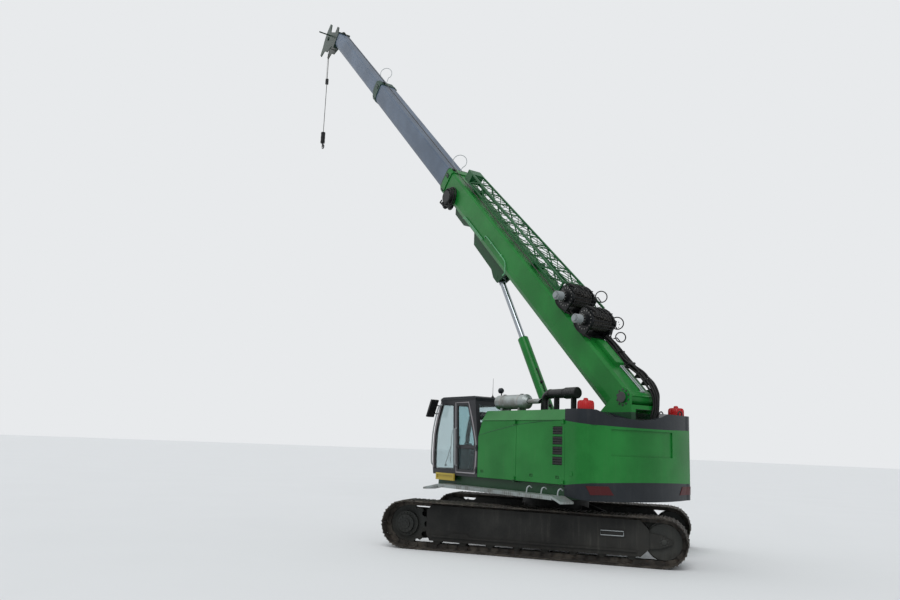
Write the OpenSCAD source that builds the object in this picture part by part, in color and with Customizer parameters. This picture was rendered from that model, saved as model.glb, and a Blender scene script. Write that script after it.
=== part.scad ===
// Telescopic boom crane on tracks, in millimetres.
// +X runs forward along the boom, +Y to the left, +Z up; the origin is on the ground under the slewing axis.

/* [Undercarriage] */
// Turn of the undercarriage against the upper machine, as parked
slew_rest = 38.3; // [0:0.1:90]
// Distance between the middles of the two tracks
track_gauge = 3360; // [3200:20:3500]
// How far each track frame can be drawn in
gauge_stroke = 500; // [300:20:520]
// Width of the track shoes
shoe_w = 700; // [500:20:720]
// Number of shoes round one track
shoe_n = 60; // [56:1:64]
// Thickness of the shoe plates
shoe_t = 30; // [20:1:36]
// Depth of the pins below the shoes' outer face
pin_depth = 70; // [64:1:80]
// Half height of the chain links about the pins
link_h = 42; // [34:1:46]
// Width over the two rows of links
chain_w = 200; // [160:10:240]
// Sprocket axis ahead of the slewing axis
sprocket_x = 2650; // [2400:20:2700]
// Idler axis, behind the slewing axis
idler_x = -2270; // [-2500:20:-2200]
// Outer radius of the track round the sprocket
sprocket_wrap_r = 460; // [440:5:480]
// Outer radius of the track round the idler
idler_wrap_r = 440; // [420:5:450]
// Thickness of the side frame across the track
side_frame_w = 340; // [280:10:360]
// Underside of the side frame
side_frame_z0 = 275; // [270:5:290]
// Top of the side frame
side_frame_z1 = 682; // [640:2:700]
// Number of bottom rollers on each side
roller_n = 8; // [6:1:9]
// Radius of the bottom rollers
roller_r = 76; // [66:1:78]
// Half width of the carbody's box
carbody_w = 720; // [640:10:740]
// Underside of the carbody
carbody_z0 = 410; // [380:10:430]
// Top of the carbody under the slewing ring
carbody_z1 = 930; // [900:5:940]
// Outer radius of the slewing ring
ring_r = 690; // [640:10:700]
// Height of the slewing ring
ring_h = 80; // [60:5:100]

/* [Upper machine] */
// Underside of the deck
deck_z0 = 1110; // [1090:5:1130]
// Thickness of the deck plate
deck_t = 40; // [25:1:50]
// Half width of the upper machine
half_w = 1495; // [1450:5:1520]
// Half width of the free space for the boom between the housings
trough_w = 460; // [430:5:480]
// Bottom of the side doors
door_z0 = 1375; // [1360:5:1400]
// Top of the side doors
door_z1 = 2535; // [2480:5:2600]
// Top of the housings
roof_z = 2745; // [2700:5:2800]
// Front of the housings
housing_x1 = 785; // [760:5:790]
// Parting line between the two side doors
door_split_x = -480; // [-600:10:-400]
// Thickness of the side doors
door_t = 55; // [40:1:70]
// Seam between the housings and the counterweight
seam_x = -1885; // [-1950:5:-1850]
// Rearmost point of the counterweight
tail_x = -2610; // [-2700:10:-2560]
// Radius of the counterweight's rear face
tail_r = 4200; // [3000:100:6000]
// Radius of the counterweight's rear corners
tail_corner_r = 300; // [200:10:400]
// Underside of the lower dark band at the seam
band_seam_z0 = 1180; // [1150:5:1200]
// Underside of the lower dark band at the rear
band_tail_z0 = 1110; // [1110:5:1150]
// Top of the lower dark band at the seam
band_seam_z1 = 1375; // [1360:5:1400]
// Top of the lower dark band at the rear
band_tail_z1 = 1460; // [1420:5:1480]
// Bottom of the upper dark band at the seam
band_seam_z2 = 2530; // [2500:5:2560]
// Bottom of the upper dark band at the rear
band_tail_z2 = 2440; // [2410:5:2480]
// Depth of the flat panel in the rear face
recess_depth = 25; // [10:5:40]

/* [Cab] */
// Rear wall of the cab
cab_x0 = 795; // [792:1:810]
// Right wall of the cab
cab_y0 = 525; // [500:5:560]
// Underside of the cab
cab_z0 = 1366; // [1366:1:1380]
// Top of the cab's walls
cab_z1 = 2980; // [2960:5:2990]
// Thickness of the cab's roof cap
cab_cap_t = 88; // [60:2:100]
// Thickness of the cab's walls
cab_wall = 50; // [40:1:60]
// Width of the frame round the cab door's glass
cab_door_frame = 85; // [60:5:100]

/* [Boom] */
// Elevation of the boom as parked
boom_el = 44.1; // [30:0.1:60]
// Boom foot pivot, ahead of the slewing axis
pivot_x = -2250; // [-2250:5:-2100]
// Height of the boom foot pivot
pivot_z = 3020; // [2960:5:3080]
// Boom centreline above the line through the pivot
boom_off = -210; // [-240:5:-180]
// Base section: pivot to head
base_len = 8970; // [8700:10:9200]
// Half width of the base section
base_w = 305; // [290:1:312]
// Height of the base section
base_h = 700; // [660:5:720]
// Wall of the base section
base_wall = 15; // [10:1:18]
// Inner section: pivot to its head as parked
mid_head = 15150; // [14800:10:15300]
// Length of the inner section
mid_len = 8950; // [8700:10:8950]
// Half width of the inner section
mid_w = 262; // [250:1:268]
// Height of the inner section
mid_h = 640; // [620:5:650]
// Wall of the inner section
mid_wall = 14; // [10:1:16]
// Outer section: pivot to its head as parked
tip_head = 19920; // [19700:10:20100]
// Length of the outer section
tip_len = 9250; // [9000:10:9260]
// Half width of the outer section
tip_w = 215; // [200:1:224]
// Height of the outer section
tip_h = 520; // [490:5:560]
// Wall of the outer section
tip_wall = 12; // [8:1:14]
// Head sheave axis, beyond the outer section's end
sheave_t = 960; // [850:10:1000]
// Head sheave axis below the pivot line
sheave_d = -515; // [-600:2:-500]
// Radius at the bottom of the sheave's groove
sheave_r = 170; // [150:1:180]
// Rod eye of the luffing cylinder, along the boom
eye_t = 5235; // [5100:5:5400]
// Rod eye of the luffing cylinder, below the pivot line
eye_d = -830; // [-850:2:-790]
// Foot of the luffing cylinder ahead of the slewing axis
foot_x = -390; // [-420:2:-300]
// Height of the luffing cylinder's foot
foot_z = 1700; // [1650:5:1750]
// Radius of the cylinder's barrel
barrel_r = 122; // [110:1:130]
// Radius of the piston rod
rod_r = 70; // [60:1:80]
// Length of the barrel from its foot
barrel_len = 3200; // [3100:10:3240]
// Length of hoist rope below the head sheave
rope_len = 3720; // [3000:10:4000]

/* [Hidden] */
$fn = 48;
// gap between pieces that move past each other
run_gap = 5;
// gap between a piece and its seat
seat_gap = 0.3;
// gap round a shaft in its bore
bore_gap = 0.05;

// Track loop: two wraps that both stand on the ground, joined by straight runs
function rad(a) = a * PI / 180;
wrap_skew = atan((sprocket_wrap_r - idler_wrap_r) / (sprocket_x - idler_x));
run_len = sprocket_x - idler_x;
pin_r1 = sprocket_wrap_r - pin_depth;
pin_r2 = idler_wrap_r - pin_depth;
arc_1 = pin_r1 * rad(180 + 2 * wrap_skew);
arc_2 = pin_r2 * rad(180 - 2 * wrap_skew);
loop_len = arc_1 + arc_2 + 2 * run_len;
shoe_pitch = loop_len / shoe_n;
function polar(r, a) = [r * cos(a), r * sin(a)];
// outward normal of the pin line at a distance s along it, from the sprocket's lowest point
function loop_angle(s) =
    s < arc_1 ? -90 + s / pin_r1 * 180 / PI :
    s < arc_1 + run_len ? 90 + 2 * wrap_skew :
    s < arc_1 + run_len + arc_2 ? 90 + 2 * wrap_skew + (s - arc_1 - run_len) / pin_r2 * 180 / PI : 270;
function loop_point(s) =
    s < arc_1 ? [sprocket_x, sprocket_wrap_r] + polar(pin_r1, loop_angle(s)) :
    s < arc_1 + run_len ? [sprocket_x, sprocket_wrap_r] + polar(pin_r1, 90 + 2 * wrap_skew)
        + polar(s - arc_1, 180 + 2 * wrap_skew) :
    s < arc_1 + run_len + arc_2 ? [idler_x, idler_wrap_r] + polar(pin_r2, loop_angle(s)) :
    [idler_x + s - arc_1 - run_len - arc_2, pin_depth];
function loop_offset(b) = [for (j = [0 : shoe_n - 1])
    loop_point(j * shoe_pitch) + polar(b, loop_angle(j * shoe_pitch))];
notch = 15;
// outline of one shoe between two pins: distance from the pin, height above the pin line
shoe_ends = [[3, pin_depth - notch], [7, pin_depth]];
function shoe_outline(p, q) =
    let (t = (q - p) / norm(q - p), n = [t[1], -t[0]])
    [for (e = shoe_ends) p + e[0] * t + e[1] * n, for (e = [shoe_ends[1], shoe_ends[0]]) q - e[0] * t + e[1] * n];
shoe_outer = [for (j = [0 : shoe_n - 1])
    each shoe_outline(loop_point(j * shoe_pitch), loop_point(((j + 1) % shoe_n) * shoe_pitch))];
// the teeth stand between the two rows of links
tooth_r = pin_r1 + 12;
tooth_n = 12;
idler_r = sqrt(pow(pin_r2, 2) - pow(shoe_pitch / 2, 2)) - link_h - 1;
// inner face of each row of links
link_y = 45;
chain_top = pin_depth + link_h;
track_y = track_gauge / 2;
side_frame_x0 = idler_x + idler_r + 60;
side_frame_x1 = sprocket_x - tooth_r - 40;
beam_w = 190;
beam_h = 230;
beam_z = 565;
// axle beams of the two side frames lie side by side: place along the machine, side
beam_places = [[760, 1], [1040, -1], [-1040, 1], [-760, -1]];
beam_end = 150;
ring_bore_r = 557;
// the box of the side frame lies between its outer plates
frame_core_y = 150;
roller_y = 105;
carrier_r = 46;
carrier_places = [900, -700];
function track_top(x) = 2 * idler_wrap_r + 2 * (sprocket_wrap_r - idler_wrap_r) * (x - idler_x) / run_len;
// lashing eyes of the carbody: place along and across it
lashing_eyes = [[1235, 400], [1235, -400], [-1235, 400], [-1235, -400]];
lashing_eye_z = 560;
lashing_eye_r = 35;

// Upper machine
deck_z1 = deck_z0 + deck_t;
plate_y = 330;
plate_t = 40;
pin_r = 75;
stub_r = 60;

// Boom
eye_x = pivot_x + eye_t * cos(boom_el) - eye_d * sin(boom_el);
eye_z = pivot_z + eye_t * sin(boom_el) + eye_d * cos(boom_el);
cylinder_el = atan2(eye_z - foot_z, eye_x - foot_x);
cylinder_len = norm([eye_x - foot_x, eye_z - foot_z]);
lug_y = 95;
// inner end of the piston rod, from the barrel's foot
rod_end = 1790;
eye_pin_r = 50;
sheave_x = pivot_x + (tip_head + sheave_t) * cos(boom_el) - sheave_d * sin(boom_el);
sheave_z = pivot_z + (tip_head + sheave_t) * sin(boom_el) + sheave_d * cos(boom_el);
rope_r = 12;
rope_x = sheave_x + sheave_r + rope_r + seat_gap;
hook_z = sheave_z - rope_len;
// lower and upper faces of the base section
belly = boom_off - base_h / 2;
back = boom_off + base_h / 2;
winch_d = back + 262;
// winches, main first: place along the boom
winch_places = [1900, 2700];

module box(x0, x1, y0, y1, z0, z1) {
    translate([x0, y0, z0]) cube([x1 - x0, y1 - y0, z1 - z0]);
}
module pair_y() {
    children();
    mirror([0, 1, 0]) children();
}
// a side view drawn in X and Z, carried from y0 to y1
module side_plate(y0, y1) {
    translate([0, y1, 0]) rotate([90, 0, 0]) linear_extrude(y1 - y0) children();
}
// a cross section drawn in Y and Z, carried from x0 to x1
module along_x(x0, x1) {
    translate([x0, 0, 0]) rotate([90, 0, 90]) linear_extrude(x1 - x0) children();
}
module rod_y(x, z, r, y0, y1) {
    translate([x, y1, z]) rotate([90, 0, 0]) cylinder(r = r, h = y1 - y0);
}
module under() {
    rotate([0, 0, slew_rest]) children();
}
module on_side(s) {
    under() translate([0, s * track_y, 0]) mirror([0, s < 0 ? 1 : 0, 0]) children();
}
module on_boom() {
    translate([pivot_x, 0, pivot_z]) rotate([0, -boom_el, 0]) children();
}

module carbody() {
    color("dimgray") under() difference() {
        union() {
            for (s = [-1, 1]) {
                box(s * 900 - 270, s * 900 + 270, -carbody_w, carbody_w, carbody_z0, 720);
                // gussets that rise to the ring
                pair_y() side_plate(360, 400) polygon([[s * 600, 719], [s * 1120, 719], [s * 640, 900], [s * 600, 900]]);
            }
            box(-660, 660, -560, 560, carbody_z0 + 20, 800);
            translate([0, 0, 700]) cylinder(r = ring_r, h = carbody_z1 - 700, $fn = 96);
            for (e = lashing_eyes)
                translate([e[0], e[1], lashing_eye_z - 25]) mirror([e[0] < 0 ? 1 : 0, 0, 0])
                    linear_extrude(50) polygon([[-66, -90], [30, -70], [75, -20], [75, 20], [30, 70], [-66, 90]]);
        }
        for (b = beam_places)
            box(b[0] - beam_w / 2 - run_gap, b[0] + beam_w / 2 + run_gap, -carbody_w - 1, carbody_w + 1,
                beam_z - beam_h / 2 - seat_gap, beam_z + beam_h / 2 + seat_gap);
        for (e = lashing_eyes)
            translate([e[0], e[1], lashing_eye_z - 26]) cylinder(r = lashing_eye_r, h = 52);
    }
}
module slew_ring() {
    color("gray") under() translate([0, 0, carbody_z1]) difference() {
        cylinder(r = ring_r, h = ring_h, $fn = 96);
        translate([0, 0, -1]) cylinder(r = ring_bore_r, h = ring_h + 2, $fn = 96);
    }
}
module side_frame(s) {
    color("dimgray") on_side(s) {
        box(side_frame_x0, side_frame_x1, -frame_core_y, frame_core_y, side_frame_z0, side_frame_z1);
        // outer plates: they hold the bottom rollers below and the carrier rollers above
        for (y = [-1, 1])
            side_plate(y * 160 - 10, y * 160 + 10) polygon([
                [side_frame_x0 - 110, 300], [side_frame_x0 + 40, 165], [side_frame_x1 - 60, 165],
                [side_frame_x1 + 10, 300], [side_frame_x1 + 10, 750], [side_frame_x1 - 90, 836],
                [side_frame_x0 + 40, 800], [side_frame_x0 - 110, 640]]);
        // flange with its raised length, and the frame round a pocket
        box(side_frame_x0 + 100, side_frame_x1 - 100, 169, 200, 240, 275);
        side_plate(169, 195) polygon([[1330, 274], [1760, 274], [1700, 335], [1390, 335]]);
        side_plate(169, 184) difference() {
            polygon([[-1590, 480], [-1120, 480], [-1120, 610], [-1590, 610]]);
            polygon([[-1560, 505], [-1150, 505], [-1150, 585], [-1560, 585]]);
        }
        // pointed idler fork and the plate of the final drive
        for (y = [-1, 1])
            side_plate(y * 130 - 25, y * 130 + 25) polygon([
                [side_frame_x0 + 1, 300], [idler_x + 60, 330], [idler_x - 150, idler_wrap_r - 30],
                [idler_x - 150, idler_wrap_r + 30], [idler_x + 60, 560], [side_frame_x0 + 1, 600]]);
        box(side_frame_x1 - 1, sprocket_x + 120, -side_frame_w / 2, -side_frame_w / 2 + 40,
            sprocket_wrap_r - 130, sprocket_wrap_r + 130);
        for (b = beam_places)
            if (b[1] == s)
                box(b[0] - beam_w / 2, b[0] + beam_w / 2, -track_y - beam_end, -frame_core_y + 1,
                    beam_z - beam_h / 2, beam_z + beam_h / 2);
    }
}
module track(s) {
    color("darkslategray") on_side(s) {
        rotate([90, 0, 0]) linear_extrude(shoe_w, center = true) difference() {
            polygon(shoe_outer);
            polygon(loop_offset(pin_depth - shoe_t));
        }
        pair_y() side_plate(link_y, chain_w / 2) difference() {
            polygon(loop_offset(pin_depth - shoe_t + 5));
            polygon(loop_offset(-link_h));
        }
    }
}
// sprocket with its final drive, idler, bottom and carrier rollers of one track
module wheels(s) {
    color("dimgray") on_side(s) {
        difference() {
            rod_y(sprocket_x, sprocket_wrap_r, tooth_r, -link_y + run_gap, link_y - run_gap);
            for (i = [0 : tooth_n - 1])
                translate([sprocket_x, 0, sprocket_wrap_r]) rotate([0, 90 - i * 360 / tooth_n, 0])
                    translate([pin_r1 + 15, 0, 0]) rod_y(0, 0, 62, -50, 50);
        }
        rod_y(sprocket_x, sprocket_wrap_r, 235, -side_frame_w / 2 + 40, 120);
        rod_y(sprocket_x, sprocket_wrap_r, 165, 119, 190);
        rod_y(sprocket_x, sprocket_wrap_r, 90, 189, 215);
        rod_y(idler_x, idler_wrap_r, idler_r, -chain_w / 2, chain_w / 2);
        rod_y(idler_x, idler_wrap_r, idler_r + 30, -link_y + run_gap, link_y - run_gap);
        rod_y(idler_x, idler_wrap_r, 70, -105, 105);
        for (i = [0 : roller_n - 1])
            let (x = side_frame_x0 + 200 + i * (side_frame_x1 - side_frame_x0 - 400) / (roller_n - 1),
                z = chain_top + roller_r + seat_gap) {
                rod_y(x, z, roller_r, -roller_y, roller_y);
                for (y = [-1, 1])
                    rod_y(x, z, roller_r + 10, y * 111 - 7, y * 111 + 7);
                rod_y(x, z, 26, -frame_core_y, frame_core_y);
            }
        for (x = carrier_places)
            let (z = track_top(x) - chain_top - carrier_r - 1) {
                rod_y(x, z, carrier_r, -chain_w / 2, chain_w / 2);
                rod_y(x, z, 24, -frame_core_y, frame_core_y);
            }
    }
}

// Side doors turn about pins that stand out from the sides
hinge_y = half_w + 20;
hinge_pin_r = 8;
knuckle_r = 15;
// hinge axis ahead of a side door's rear edge
hinge_inset = 20;
door_gap = 5;
hinge_places = [seam_x + door_gap + hinge_inset, door_split_x + door_gap + hinge_inset];
door_knuckles = [[door_z0 + 15, door_z0 + 75], [door_z1 - 65, door_z1 - 5]];
cab_hinge_x = cab_x0 + 20;
cab_knuckles = [[1480, 1540], [1940, 2000]];
module hinge_bracket(x, z0, z1, y0, pin_z0, pin_z1) {
    box(x + 1, x + 25, y0, hinge_y, z0, z1);
    translate([x, hinge_y, z0]) cylinder(r = knuckle_r, h = z1 - z0);
    translate([x, hinge_y, pin_z0]) cylinder(r = hinge_pin_r, h = pin_z1 - pin_z0);
}
// strap_x is where the strap comes down on its door
module knuckles(x, spans, strap_x) {
    for (z = spans) difference() {
        union() {
            translate([x, hinge_y, z[0]]) cylinder(r = knuckle_r, h = z[1] - z[0]);
            box(x, strap_x + 50, half_w + door_gap, half_w + door_gap + 7, z[0], z[1]);
            box(strap_x, strap_x + 50, half_w - 12, half_w + door_gap + 1, z[0], z[1]);
        }
        translate([x, hinge_y, z[0] - 1]) cylinder(r = hinge_pin_r + bore_gap, h = z[1] - z[0] + 2);
    }
}
// The deck's outer rails stand between the side doors and the machinery
rail_y0 = half_w - 135;
rail_y1 = half_w - 75;
rail_z1 = door_z0 - 10;
platform_x1 = 2340;
bracket_x0 = -2440;
boss_r = 190;
module turntable_frame() {
    color("darkgreen") {
        box(seam_x, 1500, -1420, rail_y1, deck_z0, deck_z1);
        pair_y() box(seam_x, 1500, rail_y0, rail_y1, deck_z1 - 1, rail_z1);
        // rails under the cab
        for (y = [cab_y0 + 15, rail_y0])
            box(y < 1000 ? cab_x0 + 10 : 1499, platform_x1, y, y + 60, y < 1000 ? deck_z1 - 1 : deck_z0, rail_z1);
        for (x = [cab_x0 + 10, 1560, platform_x1 - 60])
            box(x, x + 60, cab_y0 + 15, rail_y1, x > 1500 ? deck_z0 : deck_z1 - 1, rail_z1);
        box(1499, platform_x1, cab_y0 + 15, cab_y0 + 75, deck_z0, deck_z1);
        translate([0, 0, carbody_z1 + run_gap])
            cylinder(r = ring_bore_r - run_gap, h = deck_z0 - carbody_z1 - run_gap + 1, $fn = 96);
        translate([0, 0, carbody_z1 + ring_h / 3])
            cylinder(r = ring_bore_r - seat_gap, h = ring_h / 3, $fn = 96);
        // side plates of the boom's foot
        pair_y() difference() {
            union() {
                side_plate(plate_y, plate_y + plate_t) polygon([
                    [780, deck_z1 - 1], [780, 1450], [300, 1800], [-300, 2000], [-1250, 2420], [-1900, 2960],
                    [pivot_x + 160, pivot_z + 100], [pivot_x - 160, pivot_z + 100], [bracket_x0, pivot_z - 60],
                    [bracket_x0, 2000], [seam_x, 1600], [seam_x, deck_z1 - 1]]);
                rod_y(pivot_x, pivot_z, boss_r, plate_y, plate_y + plate_t);
            }
            rod_y(-900, 1600, 130, plate_y - 1, plate_y + plate_t + 1);
            rod_y(-1450, 2000, 150, plate_y - 1, plate_y + plate_t + 1);
        }
        // plate across the rear, with its opening
        difference() {
            box(bracket_x0 - 25, bracket_x0 + 1, -plate_y - plate_t, plate_y + plate_t, 2000, 2880);
            box(bracket_x0 - 26, bracket_x0 + 2, -250, 250, 2610, 2800);
        }
        rod_y(pivot_x, pivot_z, pin_r, -plate_y - plate_t - 30, plate_y + plate_t + 30);
        pair_y() for (x = hinge_places)
            hinge_bracket(x, door_z0 - 35, door_z0 - 17, rail_y1 - 20, door_z0 - 20, door_knuckles[0][1] + 5);
        // stub pins each side of the cylinder's foot, and their cheeks
        pair_y() rod_y(foot_x, foot_z, stub_r, 150, plate_y + 1);
        // bracket of the step
        box(1800, 1860, rail_y1 - 1, half_w, 1270, 1340);
    }
}
// Solid of the rear with a rounded plan, g inside its outer face
tail_corner_y = half_w - tail_corner_r;
tail_corner_x = tail_x + tail_r - sqrt(pow(tail_r, 2) - pow(tail_corner_y, 2)) + tail_corner_r;
module tail_solid(g) {
    intersection() {
        translate([tail_x + tail_r, 0, 1000]) cylinder(r = tail_r - g, h = 2000, $fn = 200);
        union() {
            box(tail_corner_x, seam_x, g - half_w, half_w - g, 1000, 3000);
            box(tail_x - 50, tail_corner_x + 1, -tail_corner_y, tail_corner_y, 1000, 3000);
            pair_y() translate([tail_corner_x, tail_corner_y, 1000])
                cylinder(r = tail_corner_r - g, h = 2000, $fn = 96);
        }
    }
}
// part of the rear between two slanted planes, each as heights at the seam and at the rear
module tail_block(low, high) {
    difference() {
        intersection() {
            tail_solid(0);
            side_plate(-half_w - 1, half_w + 1) polygon([
                [seam_x, low[0]], [tail_x, low[1]], [tail_x, high[1]], [seam_x, high[0]]]);
        }
        box(-2480, seam_x + 1, -400, 400, 1000, 3000);
    }
}
lower_edge = [band_seam_z1, band_tail_z1];
upper_edge = [band_seam_z2, band_tail_z2];
module counterweight() {
    color("forestgreen") difference() {
        tail_block(lower_edge, upper_edge);
        // flat panel in the rear face
        difference() {
            box(tail_x - 1, -2400, -650, 930, 1920, 2400);
            tail_solid(recess_depth);
        }
    }
    color("forestgreen") pair_y() rod_y(-2057, 1583, 42, half_w - 1, half_w + 8);
}
module tail_bands() {
    color("darkslategray") {
        tail_block([band_seam_z0, band_tail_z0], lower_edge);
        tail_block(upper_edge, [roof_z, roof_z]);
    }
}
cover_places = [[-2190, 1270], [-2190, -1210]];
module marker_covers() {
    color("firebrick") {
        for (c = cover_places)
            translate([c[0], c[1], roof_z]) rotate_extrude($fn = 64) polygon([
                [0, 0], [185, 0], [185, 70], [165, 120], [95, 150], [48, 150], [48, 190], [30, 205], [0, 205]]);
        // striped plates round the rear corners
        intersection() {
            difference() {
                tail_solid(-9);
                tail_solid(0);
            }
            pair_y() box(tail_x - 20, -2400, 960, 1400, 1230, 1385);
        }
    }
}
// Side view of a housing, g inside its outline
function housing_side(g) = [
    [seam_x + g, deck_z1 - g], [housing_x1 - g, deck_z1 - g], [housing_x1 - g, 2250], [660 - g, 2580],
    [640 - g, roof_z - g], [seam_x + g, roof_z - g]];
chamfer_z = door_z1 + 10;
shell_t = 40;
inner_y = half_w - door_t - 10;
module housing_shell() {
    difference() {
        intersection() {
            along_x(seam_x, housing_x1) polygon([
                [trough_w, deck_z1], [half_w, deck_z1], [half_w, chamfer_z], [1380, roof_z], [trough_w, roof_z]]);
            side_plate(trough_w - 1, half_w + 1) polygon(housing_side(0));
        }
        intersection() {
            along_x(seam_x, housing_x1) polygon([
                [trough_w + shell_t, deck_z1 - 1], [inner_y, deck_z1 - 1], [inner_y, chamfer_z - 30],
                [1360, roof_z - shell_t], [trough_w + shell_t, roof_z - shell_t]]);
            side_plate(trough_w, half_w) polygon(housing_side(shell_t));
        }
        box(seam_x - 1, housing_x1 + 1, inner_y, half_w + 1, deck_z1 - 1, door_z1 + door_gap);
        box(seam_x - 1, housing_x1 + 1, rail_y0 - 5, inner_y + 1, deck_z1 - 1, rail_z1 + 5);
    }
    // post between the doors
    box(door_split_x - 30, door_split_x + 30, inner_y - 50, inner_y, rail_z1 + seat_gap, chamfer_z - 20);
    for (x = hinge_places)
        hinge_bracket(x, door_z1 + 7, door_z1 + 20, half_w - 18, door_knuckles[1][0] - 5, door_z1 + 8);
}
// side doors: outline, part below the crease
front_door = [
    [door_split_x + door_gap, door_z0], [housing_x1 - door_gap, door_z0], [housing_x1 - door_gap, 2245],
    [672, door_z1], [door_split_x + door_gap, door_z1]];
front_low = [
    [door_split_x + door_gap, door_z0], [housing_x1 - door_gap, door_z0], [housing_x1 - door_gap, 2228],
    [48, 2367], [door_split_x + door_gap, 2450]];
rear_door = [
    [seam_x + door_gap, door_z0], [door_split_x - door_gap, door_z0], [door_split_x - door_gap, door_z1],
    [seam_x + door_gap, door_z1]];
rear_low = [
    [seam_x + door_gap, door_z0], [door_split_x - door_gap, door_z0], [door_split_x - door_gap, 2452],
    [-588, 2467], [-1415, 2520], [seam_x + door_gap, door_z1]];
crease = 10;
vent_x = [-1818, -1552];
vent_z = [1720, 1905, 2090, 2275];
vent_h = 150;
latch_z = 1500;
module side_door(outline, low, hinge_x, latches) {
    difference() {
        union() {
            side_plate(half_w - door_t, half_w - crease) polygon(outline);
            side_plate(half_w - door_t, half_w) polygon(low);
        }
        for (x = latches)
            box(x - 45, x + 45, half_w - 12, half_w + 1, latch_z - 25, latch_z + 25);
    }
    for (x = latches)
        box(x - 30, x + 30, half_w - 13, half_w - 3, latch_z - 7, latch_z + 7);
    knuckles(hinge_x, door_knuckles, hinge_x + 20);
}
module rear_side_door() {
    difference() {
        side_door(rear_door, rear_low, hinge_places[0], [-1690, -950]);
        for (z = vent_z)
            box(vent_x[0], vent_x[1], half_w - 30, half_w + 1, z, z + vent_h);
    }
    for (z = vent_z, i = [0 : 2])
        side_plate(half_w - 31, half_w - 4) polygon([
            [vent_x[0] - 1, z + 22 + i * 44], [vent_x[1] + 1, z + 22 + i * 44],
            [vent_x[1] + 1, z + 38 + i * 44], [vent_x[0] - 1, z + 38 + i * 44]]);
}
module left_housing() {
    color("forestgreen") housing_shell();
}
module right_housing() {
    color("forestgreen") mirror([0, 1, 0]) housing_shell();
}
module left_front_door() {
    color("limegreen") side_door(front_door, front_low, hinge_places[1], [620]);
}
module left_rear_door() {
    color("limegreen") rear_side_door();
}
module right_front_door() {
    color("limegreen") mirror([0, 1, 0]) side_door(front_door, front_low, hinge_places[1], [620]);
}
module right_rear_door() {
    color("limegreen") mirror([0, 1, 0]) rear_side_door();
}
module engine_block() {
    color("gray") box(-1300, 300, 620, 1280, deck_z1, 2250);
}
muffler_y = 1130;
muffler_z = 2935;
muffler_x = [-420, 600];
module muffler() {
    color("gainsboro") {
        translate([muffler_x[0], muffler_y, muffler_z]) rotate([0, 90, 0]) rotate_extrude($fn = 64) polygon([
            [0, 0], [70, 0], [150, 60], [150, 960], [70, 1020], [0, 1020]]);
        // tailpipe, cut off slanting
        difference() {
            translate([muffler_x[0] - 400, muffler_y, muffler_z]) rotate([0, 90, 0]) cylinder(r = 50, h = 401);
            translate([muffler_x[0] - 401, muffler_y, muffler_z]) rotate([0, 90, 0]) cylinder(r = 44, h = 390);
            side_plate(muffler_y - 60, muffler_y + 60) polygon([
                [muffler_x[0] - 410, muffler_z - 60], [muffler_x[0] - 300, muffler_z - 60],
                [muffler_x[0] - 400, muffler_z + 60], [muffler_x[0] - 410, muffler_z + 60]]);
        }
        for (x = [muffler_x[0] + 230, muffler_x[1] - 230])
            box(x - 30, x + 30, muffler_y - 90, muffler_y + 90, roof_z, muffler_z - 110);
    }
}
cleaner_y = 620;
cleaner_z = 3120;
module air_cleaner() {
    color("black") {
        translate([-1300, cleaner_y, cleaner_z]) rotate([0, 90, 0]) rotate_extrude($fn = 64) polygon([
            [0, 0], [105, 0], [115, 15], [115, 330], [95, 350], [95, 841], [0, 841]]);
        // bend and down pipe
        translate([-460, cleaner_y, cleaner_z - 150]) rotate([90, 0, 0])
            rotate_extrude(angle = 90, $fn = 64) translate([150, 0]) circle(r = 76);
        translate([-310, cleaner_y, roof_z]) cylinder(r = 80, h = cleaner_z - 150 - roof_z + 1);
        for (x = [-1180, -680])
            box(x - 20, x + 20, cleaner_y - 60, cleaner_y + 60, roof_z, cleaner_z - 60);
    }
}
walk_z0 = 1140;
walk_z1 = 1180;
module walkway() {
    color("silver") {
        side_plate(half_w + 5, 1820) polygon([
            [-2136, 1055], [-1900, walk_z0], [1750, walk_z0], [2350, 1035], [2350, 1075], [1750, walk_z1],
            [-1900, walk_z1], [-2136, 1095]]);
        // turned-down outer edge
        side_plate(1808, 1820) polygon([
            [-1900, 1110], [1750, 1110], [1750, walk_z1 - 1], [-1900, walk_z1 - 1]]);
        for (x = [-1650, -900, -100, 560, 1300])
            along_x(x - 25, x + 25) polygon([
                [rail_y1, deck_z0], [1560, 1085], [1780, 1112], [1780, walk_z0 + 1], [rail_y1, walk_z0 + 1]]);
    }
}
module tank() {
    color("forestgreen") {
        along_x(housing_x1 + 15, 1480) polygon([
            [-1355, deck_z1], [-trough_w - 20, deck_z1], [-trough_w - 20, 2050], [-1270, 2050], [-1355, 1965]]);
        translate([1300, -1100, 2049]) cylinder(r = 60, h = 45);
    }
}

// Cab: side view, door and window outlines
cab_profile = [
    [cab_x0, cab_z0], [2462, cab_z0], [2498, 1560], [2508, 1772], [2504, 2000], [2492, 2222], [2452, 2420],
    [2396, 2607], [2320, 2800], [2242, cab_z1], [930, cab_z1], [800, 2050], [cab_x0, 2000]];
door_outline = [
    [862, 1415], [1580, 1415], [1608, 1900], [1678, 2958], [1150, 2958], [1075, 2760], [990, 2550],
    [900, 2290], [842, 2090], [826, 1980], [826, 1800], [838, 1600]];
side_window = [
    [1662, 1480], [2420, 1480], [2442, 1772], [2426, 2210], [2335, 2580], [2205, 2895], [1752, 2895], [1688, 1900]];
right_window = [
    [905, 2000], [2438, 2000], [2426, 2210], [2335, 2580], [2205, 2895], [1010, 2895]];
lower_glass_z = 1950;
upper_glass_z = 2015;
screen_z = [1500, 2900];
rear_glass_z = [2150, 2880];
function unit(v) = v / norm(v);
function left_of(v) = [-v[1], v[0]];
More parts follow.
